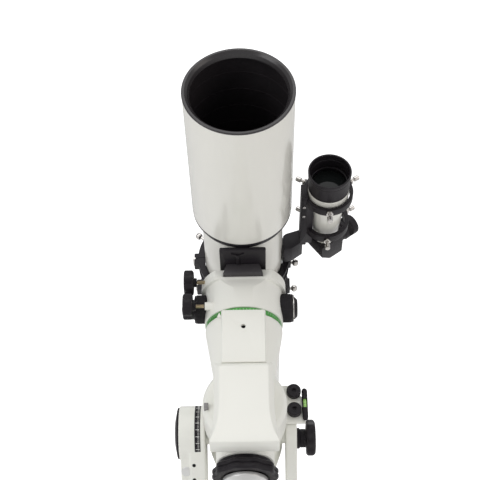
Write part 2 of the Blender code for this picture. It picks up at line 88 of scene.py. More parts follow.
shield_low, shield_high = extent("dew_shield")
TUBE_Z = (shield_low.z + shield_high.z) / 2
FRONT = extent("dew_shield_rim")[0].y
cell_low, cell_high = extent("finder_cell")
FINDER_X, FINDER_Z = (cell_low.x + cell_high.x) / 2, (cell_low.z + cell_high.z) / 2
FINDER_Y = cell_low.y
FINDER_ROLL = 36.0
FINDER = (POLAR @ Matrix.Translation(Vector((FINDER_X, 0, FINDER_Z)) * MM)
    @ Matrix.Rotation(radians(-FINDER_ROLL), 4, "Y"))
ALTITUDE_Z = joint["altitude_adjust"]["pos_m"][2] / MM
print("dew shield", round(shield_high.x - shield_low.x, 1), "mm across; optical axis", round(TUBE_Z, 1),
    "mm above the polar axis")


# %% [markdown]
# ## The camera
# The instrument is seen from in front and a little above, from about 1.3 m, with the lens of a short
# telephoto. The camera hangs off the middle of the dew shield's rim, so it follows the model's size.

# %% Camera
CAMERA_OFFSET = Vector((0.0155, -1.2896, 0.0864))
CAMERA_PITCH, CAMERA_YAW, CAMERA_ROLL = 12.0, 0.759, -1.09
FOCAL_LENGTH = 78.6

rim_middle = POLAR @ (Vector((0, FRONT, TUBE_Z)) * MM)
lens = bpy.data.cameras.new("camera")
lens.lens = FOCAL_LENGTH
camera = bpy.data.objects.new("camera", lens)
bpy.context.scene.collection.objects.link(camera)
camera.matrix_world = (Matrix.Translation(rim_middle + CAMERA_OFFSET)
    @ Matrix.Rotation(radians(CAMERA_YAW), 4, "Z") @ Matrix.Rotation(radians(90 - CAMERA_PITCH), 4, "X")
    @ Matrix.Rotation(radians(CAMERA_ROLL), 4, "Z"))
bpy.context.scene.camera = camera
print("camera", [round(c, 3) for c in camera.location])

# %% [markdown]
# ## Wiring
# The world, the finishes and the copying tools are all node trees, so one small class serves them all.

# %% A class for every node tree
class Wiring:
    """Adds nodes to a tree. An input is fed with a value or with another node's output."""

    def __init__(self, tree):
        self.tree = tree

    def feed(self, node, inputs):
        for key, value in inputs.items():
            if isinstance(value, bpy.types.NodeSocket):
                self.tree.links.new(value, node.inputs[key])
            else:
                node.inputs[key].default_value = value
        return node

    def add(self, kind, inputs=None, **settings):
        node = self.tree.nodes.new(kind)
        for key, value in settings.items():
            setattr(node, key, value)
        return self.feed(node, inputs or {})

    def math(self, operation, first, second=0.0, third=0.0):
        return self.add("ShaderNodeMath", {0: first, 1: second, 2: third},
            operation=operation).outputs[0]


# %% [markdown]
# ## A white studio
# Product pictures of white instruments are lit by big soft boxes, with the background brighter than the
# paint. Boxes stand left, right and behind, and one hangs above. A pale floor lies well below, because
# the star diagonal reaches lower than the pier plate. The sky and the floor show the camera more light
# than they give to the instrument, so the background turns white while the paint keeps its shading.

# %% Lights, world and floor
FLOOR_Z, FLOOR_REACH = -0.62, 30
SKY_LIGHT, SKY_SEEN = 0.46, 1.4
FLOOR_LIGHT, FLOOR_SEEN = 0.12, 0.75
EXPOSURE = 0.15


def soft_box(name, at, aim, size, power, tint=(1, 1, 1)):
    data = bpy.data.lights.new(name, "AREA")
    data.shape = "RECTANGLE"
    data.size, data.size_y = size
    data.energy = power
    data.color = tint
    lamp = bpy.data.objects.new(name, data)
    lamp.location = at
    lamp.rotation_euler = (Vector(aim) - Vector(at)).to_track_quat("-Z", "Y").to_euler()
    bpy.context.scene.collection.objects.link(lamp)


soft_box("box_left", (-1.7, -1.6, 1.5), (0, 0, 0.5), (1.2, 1.8), 14)
soft_box("box_right", (1.9, -1.2, 1.2), (0, 0, 0.45), (1.0, 1.6), 6, (1.0, 0.91, 0.84))
soft_box("box_above", (0.0, -0.3, 2.4), (0, 0, 0.4), (1.8, 1.8), 12)
soft_box("box_behind", (0.3, 2.2, 1.6), (0, 0, 0.5), (1.6, 1.2), 8)


def glowing(wire, light, seen):
    """A strength that is light for every ray, but seen for the camera's own."""
    path = wire.add("ShaderNodeLightPath")
    return wire.add("ShaderNodeMapRange", {"Value": path.outputs["Is Camera Ray"], "To Min": light,
        "To Max": seen}).outputs["Result"]


def principled(name):
    """A new material, its wiring and its shader."""
    made = bpy.data.materials.new(name)
    made.use_nodes = True
    return made, Wiring(made.node_tree), made.node_tree.nodes["Principled BSDF"]


world = bpy.data.worlds.new("studio")
world.use_nodes = True
sky_wire = Wiring(world.node_tree)
sky_wire.feed(world.node_tree.nodes["Background"], {"Color": (1, 1, 1, 1),
    "Strength": glowing(sky_wire, SKY_LIGHT, SKY_SEEN)})
bpy.context.scene.world = world
bpy.context.scene.view_settings.view_transform = "Standard"
bpy.context.scene.view_settings.exposure = EXPOSURE

paper, paper_wire, paper_shader = principled("studio_paper")
paper_wire.feed(paper_shader, {"Base Color": (0.97, 0.97, 0.97, 1), "Roughness": 0.9,
    "Emission Color": (1, 1, 1, 1), "Emission Strength": glowing(paper_wire, FLOOR_LIGHT, FLOOR_SEEN)})
floor_mesh = bpy.data.meshes.new("studio_floor")
floor_mesh.from_pydata([(x * FLOOR_REACH, y * FLOOR_REACH, FLOOR_Z) for x,
    y in ((-1, -1), (1, -1), (1, 1), (-1, 1))], [], [(0, 1, 2, 3)])
floor_mesh.materials.append(paper)
floor = bpy.data.objects.new("studio_floor", floor_mesh)
bpy.context.scene.collection.objects.link(floor)


# %% [markdown]
# ## Finishes
# One recipe serves them all: a Principled shader whose colour drifts a little from place to place,
# whose roughness is uneven, and whose surface has a fine relief. Paint gets the soft dimples of a
# sprayed coat, castings a tighter grain, turned metal a streak that runs round the axis, and black
# plastic the sparkle of a moulded skin. The noise reads Object coordinates, so it stays on the piece.

# %% One recipe for every finish
COAT_ROUGHNESS, RELIEF_DEPTH = 0.08, 0.0003
BLOTCH_SIZE, BLOTCH_SHARE, FINE_SHARE = 14.0, 0.65, 0.35
DARK_SPECULAR = 0.22


def finish(name, colour, rough, metal=0.0, grain=600.0, relief=0.15, drift=0.03, stretch=(1, 1, 1),
        coat=0.0, tilt=0.0):
    made, wire, shader = principled(name)
    place = wire.add("ShaderNodeTexCoord").outputs["Object"]
    mapped = wire.add("ShaderNodeMapping", {"Vector": place, "Rotation": (radians(tilt), 0, 0),
        "Scale": stretch}).outputs["Vector"]

    def noise(scale, detail):
        return wire.add("ShaderNodeTexNoise", {"Vector": mapped, "Scale": scale,
            "Detail": detail}).outputs["Fac"]

    blotch, fine = noise(BLOTCH_SIZE, 3.0), noise(grain, 2.0)
    blend = wire.math("MULTIPLY_ADD", fine, FINE_SHARE, wire.math("MULTIPLY", blotch, BLOTCH_SHARE))
    ramp = wire.add("ShaderNodeValToRGB", {"Fac": blend})
    dark_end, light_end = ramp.color_ramp.elements
    dark_end.position, light_end.position = 0.3, 0.7
    dark_end.color = (*[c * (1 - 2 * drift) for c in colour], 1)
    light_end.color = (*colour, 1)
    uneven = wire.add("ShaderNodeMapRange", {"Value": blend, "To Min": rough * 0.8,
        "To Max": min(1.0, rough * 1.25)})
    bump = wire.add("ShaderNodeBump", {"Height": fine, "Strength": relief, "Distance": RELIEF_DEPTH})
    wire.feed(shader, {"Base Color": ramp.outputs["Color"], "Roughness": uneven.outputs["Result"],
        "Normal": bump.outputs["Normal"], "Metallic": metal, "Coat Weight": coat,
        "Coat Roughness": COAT_ROUGHNESS})
    return made


POLAR_TILT = degrees(atan2(sky.z, -sky.y))
TUBE_PAINT = finish("gloss_tube_paint", (0.80, 0.79, 0.735), 0.22, grain=420, relief=0.10, drift=0.012,
    coat=0.5)
MOUNT_PAINT = finish("cast_mount_paint", (0.90, 0.90, 0.845), 0.36, grain=900, relief=0.22, drift=0.015)
WEIGHT_PAINT = finish("weight_paint", (0.66, 0.66, 0.62), 0.45, grain=700, relief=0.35, drift=0.03)
ANODISED = finish("black_anodised", (0.022, 0.019, 0.023), 0.34, grain=1500, relief=0.12, drift=0.2)
PLASTIC = finish("moulded_black", (0.020, 0.017, 0.021), 0.42, grain=1900, relief=0.35, drift=0.2)
FLOCKING = finish("black_flocking", (0.032, 0.027, 0.031), 0.85, grain=2400, relief=0.6, drift=0.3)
RUBBER = finish("grip_rubber", (0.016, 0.015, 0.016), 0.7, grain=1300, relief=0.4, drift=0.2)
CHROME = finish("bright_chrome", (0.62, 0.60, 0.58), 0.14, 1.0, grain=900, relief=0.05, drift=0.04)
STEEL = finish("turned_steel", (0.58, 0.57, 0.55), 0.26, 1.0, grain=350, relief=0.2, drift=0.08,
    stretch=(1, 9, 1), tilt=POLAR_TILT)
SATIN = finish("satin_collar", (0.76, 0.76, 0.75), 0.3, 0.6, grain=800, relief=0.2, drift=0.03)
BRASS = finish("screw_brass", (0.62, 0.50, 0.33), 0.3, 1.0, grain=900, relief=0.2, drift=0.1)
GREEN = finish("green_anodised", (0.10, 0.42, 0.09), 0.28, 0.45, grain=900, relief=0.1, drift=0.08)
TICK_WHITE = finish("tick_white", (0.85, 0.85, 0.82), 0.5, grain=900, relief=0.1, drift=0.05)
GREY = finish("cast_grey", (0.30, 0.29, 0.29), 0.5, grain=900, relief=0.3, drift=0.06)
# Painted shade: this near-black stands in for the shade inside small holes. The level's printed lines also use it
# as their own colour.
HOLE_SHADE_AND_PRINT_BLACK = finish("dark_bore", (0.012, 0.011, 0.012), 0.6, grain=900, relief=0.2, drift=0.2)
VIAL = finish("vial_liquid", (0.36, 0.72, 0.16), 0.08, grain=300, relief=0.02, drift=0.05, coat=1.0)
GLASS = finish("coated_glass", (0.012, 0.014, 0.014), 0.05, grain=300, relief=0.0, drift=0.02)
RIM_BLACK = finish("rim_black", (0.034, 0.031, 0.033), 0.24, grain=1500, relief=0.08, drift=0.1)
# Painted light: the dovetail bar's black is lighter than the anodised black so that its end face reads as lit.
LIT_BAR_BLACK = finish("milled_bar", (0.050, 0.046, 0.050), 0.45, grain=1200, relief=0.15, drift=0.1)
FELT = finish("ring_felt", (0.018, 0.016, 0.018), 0.95, grain=2600, relief=0.7, drift=0.3)
for dark in (ANODISED, PLASTIC, FLOCKING, RUBBER, HOLE_SHADE_AND_PRINT_BLACK, GLASS):
    dark.node_tree.nodes["Principled BSDF"].inputs["Specular IOR Level"].default_value = DARK_SPECULAR


# %% [markdown]
# ## Riding
# A finished piece tells the frame two things: the body it moves with and the CAD solid it stands for. `put` does
# both. Trim that has no solid of its own names only its body. Before that it shades the mesh: smooth round the
# turn, sharp where two faces meet at a real edge.

# %% Handing a piece over
made_pieces = []
SHARP = radians(32)


def put(piece, *nodes, body=None):
    piece.data.shade_smooth()
    piece.data.set_sharp_from_angle(angle=SHARP)
    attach(piece, body or body_of[nodes[0]])
    if nodes:
        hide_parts(*nodes)
    made_pieces.append(piece)
    return piece


def as_object(name, shape, look, matrix=None):
    """A bmesh becomes an object at the origin with its place in its mesh."""
    if matrix:
        shape.transform(matrix)
    bmesh.ops.remove_doubles(shape, verts=shape.verts, dist=1e-7)
    bmesh.ops.recalc_face_normals(shape, faces=shape.faces)
    mesh = bpy.data.meshes.new(name)
    shape.to_mesh(mesh)
    shape.free()
    mesh.materials.append(look)
    thing = bpy.data.objects.new(name, mesh)
    bpy.context.scene.collection.objects.link(thing)
    return thing


def settle(thing):
    """Applies the modifiers, so that what is left is a plain mesh."""
    bpy.context.view_layer.update()
    graph = bpy.context.evaluated_depsgraph_get()
    mesh = bpy.data.meshes.new_from_object(thing.evaluated_get(graph))
    thing.modifiers.clear()
    old, thing.data = thing.data, mesh
    bpy.data.meshes.remove(old)
    return thing


# %% [markdown]
# ## The lathe
# `soften` replaces each corner of an outline by a short curve, the way an edge is broken with a file:
# a bright line along every edge is what makes metal look machined. `spin` turns the outline. It could
# be a Screw modifier, but writing the rings of points ourselves lets us place them straight in the
# world and close the poles exactly.

# %% soften and spin
CORNER_STEPS = 4
NEARLY_STRAIGHT = radians(168)
LONGEST_BITE = 0.42


def soften(points, radius, closed):
    smooth = []
    count = len(points)
    for i, spot in enumerate(points):
        here = Vector(spot)
        if radius <= 0 or (not closed and i in (0, count - 1)):
            smooth.append(here)
            continue
        back, on = Vector(points[i - 1]) - here, Vector(points[(i + 1) % count]) - here
        if back.angle(on) > NEARLY_STRAIGHT:
            smooth.append(here)
            continue
        reach = min(radius, back.length * LONGEST_BITE, on.length * LONGEST_BITE)
        start, end = here + back.normalized() * reach, here + on.normalized() * reach
        for step in range(CORNER_STEPS + 1):
            t = step / CORNER_STEPS
            smooth.append(start * (1 - t) ** 2 + here * 2 * t * (1 - t) + end * t * t)
    return smooth


def spin_shape(outline, steps, corner, sweep=tau):
    closed = outline[0][0] > 1e-6
    points = soften([(r, h) for r, h in outline], corner, closed)
    shape = bmesh.new()
    whole = sweep > tau - 1e-6
    rings = []
    for r, h in points:
        count = 1 if r < 1e-6 else (steps if whole else steps + 1)
        rings.append([shape.verts.new((r * cos(sweep * k / steps), r * sin(sweep * k / steps), h))
            for k in range(count)])
    pairs = list(zip(rings, rings[1:])) + ([(rings[-1], rings[0])] if closed else [])
    for first, second in pairs:
        for k in range(steps):
            quad = [first[k % len(first)], first[(k + 1) % len(first)], second[(k + 1) % len(second)],
                second[k % len(second)]]
            corners = list(dict.fromkeys(quad))
            if len(corners) > 2:
                shape.faces.new(corners)
    if not whole:
        for end in (0, -1):
            shape.faces.new([ring[end] for ring in rings])
    return shape


def spin(name, outline, matrix, look, steps=96, corner=0.5, sweep=tau):
    return as_object(name, spin_shape(outline, steps, corner, sweep), look, matrix)


# %% [markdown]
# ## Reading an outline back from a plain solid
# A turned solid with 24 sides has a row of points in the half plane at angle zero. Those points, in
# the order of their edges, are the outline that the piece was turned from. Flat faces may have lost
# the edge that crosses them, so loose ends at one height are joined, and an end left alone goes to
# the axis.

# %% read_outline and returned
NEAR = 0.05


def read_outline(node, basis, along):
    lathe = stand(basis, (0, 0, 0), along)
    shape = bmesh.new()
    shape.from_mesh(frame["nodes"][node].data)
    bmesh.ops.remove_doubles(shape, verts=shape.verts, dist=2e-5)
    shape.transform(lathe.inverted())
    low = [min(v.co[i] for v in shape.verts) for i in (0, 1)]
    high = [max(v.co[i] for v in shape.verts) for i in (0, 1)]
    middle = [(a + b) / 2 for a, b in zip(low, high)]
    spots = {v: (max(0.0, v.co.x - middle[0]), v.co.z) for v in shape.verts
        if abs(v.co.y - middle[1]) < NEAR and v.co.x - middle[0] > -NEAR}
    spots = {v: (0.0 if r < NEAR else r, h) for v, (r, h) in spots.items()}
    links = {v: [e.other_vert(v) for e in v.link_edges if e.other_vert(v) in spots] for v in spots}
    loose = sorted((v for v in spots if len(links[v]) < 2 and spots[v][0] > 0),
        key=lambda v: (round(spots[v][1], 1), spots[v][0]))
    while loose:
        first = loose.pop(0)
        if loose and abs(spots[loose[0]][1] - spots[first][1]) < 0.06:
            second = loose.pop(0)
            links[first].append(second)
            links[second].append(first)
    ends = [v for v in spots if links[v] and (len(links[v]) == 1 or spots[v][0] == 0)]
    path = [min(ends, key=lambda v: spots[v][1]) if ends else next(v for v in spots if links[v])]
    while True:
        onward = [v for v in links[path[-1]] if v not in path]
        if not onward:
            break
        path.append(onward[0])
    outline = [spots[v] for v in path]
    if ends:
        outline = ([(0.0, outline[0][1])] if outline[0][0] > 0 else []) + outline
        outline += [(0.0, outline[-1][1])] if outline[-1][0] > 0 else []
    shape.free()
    centre = lathe @ Vector((middle[0], middle[1], 0))
    return outline, Matrix.Translation(centre - lathe.translation) @ lathe


def returned(node, along, look, corner=0.6, steps=96, basis=POLAR):
    """The CAD node turned again from its own outline, finely and with broken edges."""
    outline, matrix = read_outline(node, basis, along)
    return put(spin(node + "_turned", outline, matrix, look, steps, corner), node)


for check in ("main_tube", "dew_shield_rim", "lens_cell"):
    print(check, [(round(r, 1), round(h, 1)) for r, h in read_outline(check, POLAR, "Y")[0]][:6])

# %% [markdown]
# ## Castings
# A casting has no sharp inside corners: molten metal left a fillet everywhere. We let simple shapes
# overlap, rebuild their common skin as an even grid of small quads (Remesh, voxel mode), take the
# cutters out of it and remesh once more. The Smooth modifier then relaxes it: flat faces stay flat and
# every meeting of two shapes becomes a soft fillet.

# %% Bevels, slabs, Booleans and the casting step
def bevelled(thing, width, segments=3, angle=30):
    step = thing.modifiers.new("broken_edges", "BEVEL")
    step.width = width * MM
    step.segments = segments
    step.limit_method = "ANGLE"
    step.angle_limit = radians(angle)
    return settle(thing)


def slab(name, points, thickness, matrix, look, bevel=0.0, corner=0.0):
    """A flat outline pulled up along Z, its corners rounded by corner, its rims by bevel."""
    outline = soften(points, corner, True) if corner else [Vector(p) for p in points]
    shape = bmesh.new()
    loops = [[shape.verts.new((p.x, p.y, h)) for p in outline] for h in (0, thickness)]
    shape.faces.new(loops[0][::-1])
    shape.faces.new(loops[1])
    for i in range(len(outline)):
        j = (i + 1) % len(outline)
        shape.faces.new((loops[0][i], loops[0][j], loops[1][j], loops[1][i]))
    thing = as_object(name, shape, look, matrix)
    return bevelled(thing, bevel) if bevel else thing


def box(low, high):
    """Corner points of a rectangle for slab."""
    return [(low[0], low[1]), (high[0], low[1]), (high[0], high[1]), (low[0], high[1])]


def block(name, low, high, basis, look, bevel=0.0, corner=0.0):
    return slab(name, box(low, high), high[2] - low[2], stand(basis, (0, 0, low[2])), look, bevel,
        corner)


def rod(name, radius, low, high, matrix, look, steps=64, corner=0.4):
    return spin(name, [(0, high), (radius, high), (radius, low), (0, low)], matrix, look, steps, corner)


def combine(thing, operation, others):
    for other in others:
        step = thing.modifiers.new(operation.lower(), "BOOLEAN")
        step.operation = operation
        step.object = other
        step.solver = "EXACT"
    settle(thing)
    for other in others:
        bpy.data.objects.remove(other, do_unlink=True)
    return thing


def join(thing, *others):
    return combine(thing, "UNION", others)


def cut(thing, *others):
    return combine(thing, "DIFFERENCE", others)


def cast(name, adds, cuts, voxel=1.4, rounds=4):
    """Overlapping shapes melted into one skin, the cutters taken out of it, and the skin relaxed."""
    shape = bmesh.new()
    for piece in adds:
        shape.from_mesh(piece.data)
        bpy.data.objects.remove(piece, do_unlink=True)
    mesh = bpy.data.meshes.new(name)
    shape.to_mesh(mesh)
    shape.free()
    mesh.materials.append(MOUNT_PAINT)
    thing = bpy.data.objects.new(name, mesh)
    bpy.context.scene.collection.objects.link(thing)

    def skin():
        grid = thing.modifiers.new("skin", "REMESH")
        grid.mode = "VOXEL"
        grid.voxel_size = voxel * MM

    skin()
    for tool in cuts:
        step = thing.modifiers.new("cut", "BOOLEAN")
        step.operation = "DIFFERENCE"
        step.object = tool
        step.solver = "MANIFOLD"
    if cuts:
        skin()
    relax = thing.modifiers.new("relax", "SMOOTH")
    relax.factor = 0.5
    relax.iterations = rounds
    settle(thing)
    for tool in cuts:
        bpy.data.objects.remove(tool, do_unlink=True)
    thing.data.materials.clear()
    thing.data.materials.append(MOUNT_PAINT)
    print(name, len(thing.data.polygons), "faces")
    return thing


# %% [markdown]
# ## Geometry Nodes: copies round an axis
# Knurls, ticks and gear teeth are one small bar repeated round a circle or an arc. The tree makes the
# points, places them by index, turns each bar to face outwards, and realises the copies. The bar is
# a little cylinder with few sides, flattened or stretched by the inputs.

# %% The copies tree
def new_tree(name, inputs):
    tree = bpy.data.node_groups.new(name, "GeometryNodeTree")
    tree.interface.new_socket("Geometry", in_out="INPUT", socket_type="NodeSocketGeometry")
    for label, kind in inputs:
        tree.interface.new_socket(label, in_out="INPUT", socket_type="NodeSocket" + kind)
    tree.interface.new_socket("Geometry", in_out="OUTPUT", socket_type="NodeSocketGeometry")
    return tree, tree.nodes.new("NodeGroupInput"), tree.nodes.new("NodeGroupOutput")


def copies_tree():
    tree, given, out = new_tree("copies_round_axis", [("Count", "Int"), ("Radius", "Float"),
        ("Start", "Float"), ("Sweep", "Float"), ("Bar Width", "Float"), ("Bar Depth", "Float"),
        ("Bar Height", "Float"), ("Sides", "Int"), ("Finish", "Material")])
    wire = Wiring(tree)
    get = given.outputs
    points = wire.add("GeometryNodePoints", {"Count": get["Count"]})
    index = wire.add("GeometryNodeInputIndex").outputs[0]
    share = wire.math("DIVIDE", index, get["Count"])
    angle = wire.math("MULTIPLY_ADD", share, get["Sweep"], get["Start"])
    spot = wire.add("ShaderNodeCombineXYZ", {"X": wire.math("MULTIPLY", wire.math("COSINE", angle),
        get["Radius"]), "Y": wire.math("MULTIPLY", wire.math("SINE", angle), get["Radius"])})
    placed = wire.add("GeometryNodeSetPosition", {"Geometry": points.outputs[0],
        "Position": spot.outputs[0]})
    bar = wire.add("GeometryNodeMeshCylinder", {"Vertices": get["Sides"], "Radius": 0.5,
        "Depth": get["Bar Height"]})
    turn = wire.add("ShaderNodeCombineXYZ", {"Z": angle})
    size = wire.add("ShaderNodeCombineXYZ", {"X": get["Bar Depth"], "Y": get["Bar Width"], "Z": 1.0})
    copies = wire.add("GeometryNodeInstanceOnPoints", {"Points": placed.outputs[0],
        "Instance": bar.outputs["Mesh"], "Rotation": turn.outputs[0], "Scale": size.outputs[0]})
    real = wire.add("GeometryNodeRealizeInstances", {"Geometry": copies.outputs[0]})
    painted = wire.add("GeometryNodeSetMaterial", {"Geometry": real.outputs[0],
        "Material": get["Finish"]})
    tree.links.new(painted.outputs[0], out.inputs[0])
    return tree


COPIES = copies_tree()


def grown(name, tree, matrix, look, base=None, **sizes):
    """Evaluates a tree on a mesh (or on nothing) and carries the result to its place."""
    mesh = bpy.data.meshes.new(name)
    if base:
        base.to_mesh(mesh)
        base.free()
    thing = bpy.data.objects.new(name, mesh)
    bpy.context.scene.collection.objects.link(thing)
    step = thing.modifiers.new("tree", "NODES")
    step.node_group = tree
    for item in tree.interface.items_tree:
        label = item.name.replace(" ", "_").lower()
        if item.in_out == "INPUT" and label in sizes:
            step[item.identifier] = sizes[label]
        elif item.in_out == "INPUT" and label == "finish":
            step[item.identifier] = look
    settle(thing)
    shape = bmesh.new()
    shape.from_mesh(thing.data)
    shape.transform(matrix)
    if matrix.determinant() < 0:
        bmesh.ops.reverse_faces(shape, faces=shape.faces)
    shape.to_mesh(thing.data)
    shape.free()
    thing.data.materials.clear()
    thing.data.materials.append(look)
    thing.data.polygons.foreach_set("material_index", [0] * len(thing.data.polygons))
    return thing


def bars(name, matrix, look, body, count, radius, width, depth, height, start=0.0, sweep=360.0,
        sides=6):
    return put(grown(name, COPIES, matrix, look, count=count, radius=radius, bar_width=width,
        bar_depth=depth, bar_height=height, sides=sides, start=radians(start), sweep=radians(sweep)),
        body=body)


# %% [markdown]
# ## Geometry Nodes: the waved rim of a hand wheel
# Every hand wheel here is a turned disc whose rim waves in and out so that fingers find a hold. The
# rule is one line: push each point towards the axis by half of (1 - cosine of lobes times the angle),
# more the nearer it lies to the rim. So we turn the disc first and let the tree wave it.

# %% The wave tree and hand_wheel
def wave_tree():
    tree, given, out = new_tree("waved_rim", [("Lobes", "Float"), ("Dip", "Float"), ("Inner", "Float"),
        ("Outer", "Float"), ("Finish", "Material")])
    wire = Wiring(tree)
    get = given.outputs
    place = wire.add("GeometryNodeInputPosition").outputs[0]
    split = wire.add("ShaderNodeSeparateXYZ", {0: place})
    x, y = split.outputs[0], split.outputs[1]
    angle = wire.math("ARCTAN2", y, x)
    wave = wire.math("MULTIPLY_ADD", wire.math("COSINE", wire.math("MULTIPLY", angle, get["Lobes"])),
        -0.5, 0.5)
    reach = wire.math("SQRT", wire.math("MULTIPLY_ADD", x, x, wire.math("MULTIPLY", y, y)))
    share = wire.add("ShaderNodeMapRange", {"Value": reach, "From Min": get["Inner"],
        "From Max": get["Outer"]}).outputs[0]
    push = wire.math("MULTIPLY", wire.math("MULTIPLY", wave, share), get["Dip"])
    factor = wire.math("SUBTRACT", 1.0, wire.math("DIVIDE", push, wire.math("MAXIMUM", reach, 0.01)))
    spot = wire.add("ShaderNodeCombineXYZ", {"X": wire.math("MULTIPLY", x, factor),
        "Y": wire.math("MULTIPLY", y, factor), "Z": split.outputs[2]})
    moved = wire.add("GeometryNodeSetPosition", {"Geometry": get["Geometry"],
        "Position": spot.outputs[0]})
    real = wire.add("GeometryNodeRealizeInstances", {"Geometry": moved.outputs[0]})
    painted = wire.add("GeometryNodeSetMaterial", {"Geometry": real.outputs[0],
        "Material": get["Finish"]})
    tree.links.new(painted.outputs[0], out.inputs[0])
    return tree


WAVE = wave_tree()
WHEEL_STEPS = 126
WAVE_FROM = 0.8


def hand_wheel(node, outline, matrix, lobes, dip, outer, corner=1.2):
    """outline is the wheel's own in millimetres; outer is its rim's radius."""
    piece = grown(node + "_wheel", WAVE, matrix, PLASTIC, spin_shape(outline, WHEEL_STEPS, corner),
        lobes=float(lobes), dip=dip, inner=outer * WAVE_FROM, outer=outer)
    return put(piece, node)


# %% [markdown]
# ## The optical tube
# The dew shield is a rolled and welded sheet sprayed glossy white, lined with black flocking. A black
# turned rim is pressed over its front, with a deep inner bevel that catches the light. Both outlines
# are drawn here, and each lining is a thin sleeve of its own. The cell, the lenses, the main tube and
# the tail flange are turned again from their CAD outlines.

# %% Dew shield, rim, tube and lenses
shield_radius = (shield_high.x - shield_low.x) / 2
axis_at_front = stand(POLAR, (0, FRONT, TUBE_Z), "Y")
SHIELD_END = shield_high.y - FRONT
SHIELD_INNER, LINING_OUTER, LINING_INNER = 68.2, 67.9, 67.9 - 0.35

put(spin("dew_shield_rolled", [(shield_radius, SHIELD_END), (shield_radius, 2.8), (SHIELD_INNER, 2.8),
    (SHIELD_INNER, SHIELD_END)], axis_at_front, TUBE_PAINT, 160, 0.3), "dew_shield")
put(spin("flocked_lining", [(LINING_OUTER, SHIELD_END - 0.5), (LINING_OUTER, 9.6), (LINING_INNER, 9.6),
    (LINING_INNER, SHIELD_END - 0.5)], axis_at_front, FLOCKING, 160, 0.0), body="saddle")
put(spin("dew_shield_rim_turned", [(67.7, 9.2), (67.7, 2.6), (shield_radius + 0.5, 2.4),
    (shield_radius + 0.5, 0.9), (shield_radius - 0.3, 0), (66.8, 0), (66.0, 0.8), (63.4, 3.4),
    (60.8, 8.2), (60.8, 9.2)], axis_at_front, RIM_BLACK, 160, 0.3), "dew_shield_rim")
for number, depth in enumerate((40.0, 72.0, 104.0, 136.0, 168.0, 200.0), 1):
    put(spin(f"shield_rib_{number}", [(67.5, depth + 0.6), (67.5, depth - 0.6), (66.9, depth)],
        axis_at_front, FLOCKING, 128, 0.0), body="saddle")
returned("lens_cell", "Y", ANODISED, 0.6, 128)
returned("crown_lens", "Y", GLASS, 0.4, 96)
returned("flint_lens", "Y", GLASS, 0.4, 96)
returned("main_tube", "Y", TUBE_PAINT, 0.3, 144)
returned("tail_flange", "Y", ANODISED, 0.8, 128)
tube_low, tube_high = extent("main_tube")
put(spin("tube_lining", [(53.8, tube_low.y - FRONT + 1), (53.8, tube_high.y - FRONT - 14),
    (53.4, tube_high.y - FRONT - 14), (53.4, tube_low.y - FRONT + 1)], axis_at_front, FLOCKING, 128,
    0.0), body="saddle")
TUBE_TAIL = extent("tail_flange")[1].y - FRONT
put(spin("tail_groove_ring", [(61.4, TUBE_TAIL - 7), (61.4, TUBE_TAIL - 9), (60.6, TUBE_TAIL - 9),
    (60.6, TUBE_TAIL - 7)], axis_at_front, CHROME, 128, 0.2), body="saddle")
print("tube", round(TUBE_TAIL), "mm from rim to tail flange")

# %% [markdown]
# ## Socket head screws
# A cap screw is a turned head with a hexagonal socket. One is modelled with care, and a small tree
# copies it onto a list of points, so a row of fasteners costs one short call.

# %% One cap screw, copied onto points
def cap_screw_shape(radius, height, socket):
    """Head with a hexagonal socket, standing on Z = 0."""
    shape = spin_shape([(0, height - socket), (socket * 0.98, height - socket), (socket, height - 0.3),
        (socket * 1.12, height), (radius - 0.4, height), (radius, height - 0.4), (radius, 0), (0, 0)],
        48, radius * 0.06)
    for vert in shape.verts:
        reach = (vert.co.x ** 2 + vert.co.y ** 2) ** 0.5
        if 0 < reach <= socket * 1.001 and vert.co.z > 0.5:
            sector = (atan2(vert.co.y, vert.co.x) + pi / 6) % (pi / 3) - pi / 6
            shrink = cos(pi / 6) / cos(sector)
            vert.co.x, vert.co.y = vert.co.x * shrink, vert.co.y * shrink
    return shape


def points_tree():
    tree, given, out = new_tree("pieces_on_points", [("Master", "Object"), ("Finish", "Material")])
    wire = Wiring(tree)
    master = wire.add("GeometryNodeObjectInfo", {"Object": given.outputs["Master"]})
    copies = wire.add("GeometryNodeInstanceOnPoints", {"Points": given.outputs["Geometry"],
        "Instance": master.outputs["Geometry"]})
    real = wire.add("GeometryNodeRealizeInstances", {"Geometry": copies.outputs[0]})
    painted = wire.add("GeometryNodeSetMaterial", {"Geometry": real.outputs[0],
        "Material": given.outputs["Finish"]})
    tree.links.new(painted.outputs[0], out.inputs[0])
    return tree


ON_POINTS = points_tree()


def screws(name, spots, matrix, body, radius=2.6, height=1.6, socket=1.3, look=ANODISED):
    """Cap screws at each (x, y, z) of the matrix's own millimetres, heads along its Z."""
    master = as_object(name + "_master", cap_screw_shape(radius, height, socket), look)
    seeds = bmesh.new()
    for spot in spots:
        seeds.verts.new(spot)
    rows = grown(name, ON_POINTS, matrix, look, seeds, master=master)
    bpy.data.objects.remove(master, do_unlink=True)
    return put(rows, body=body)
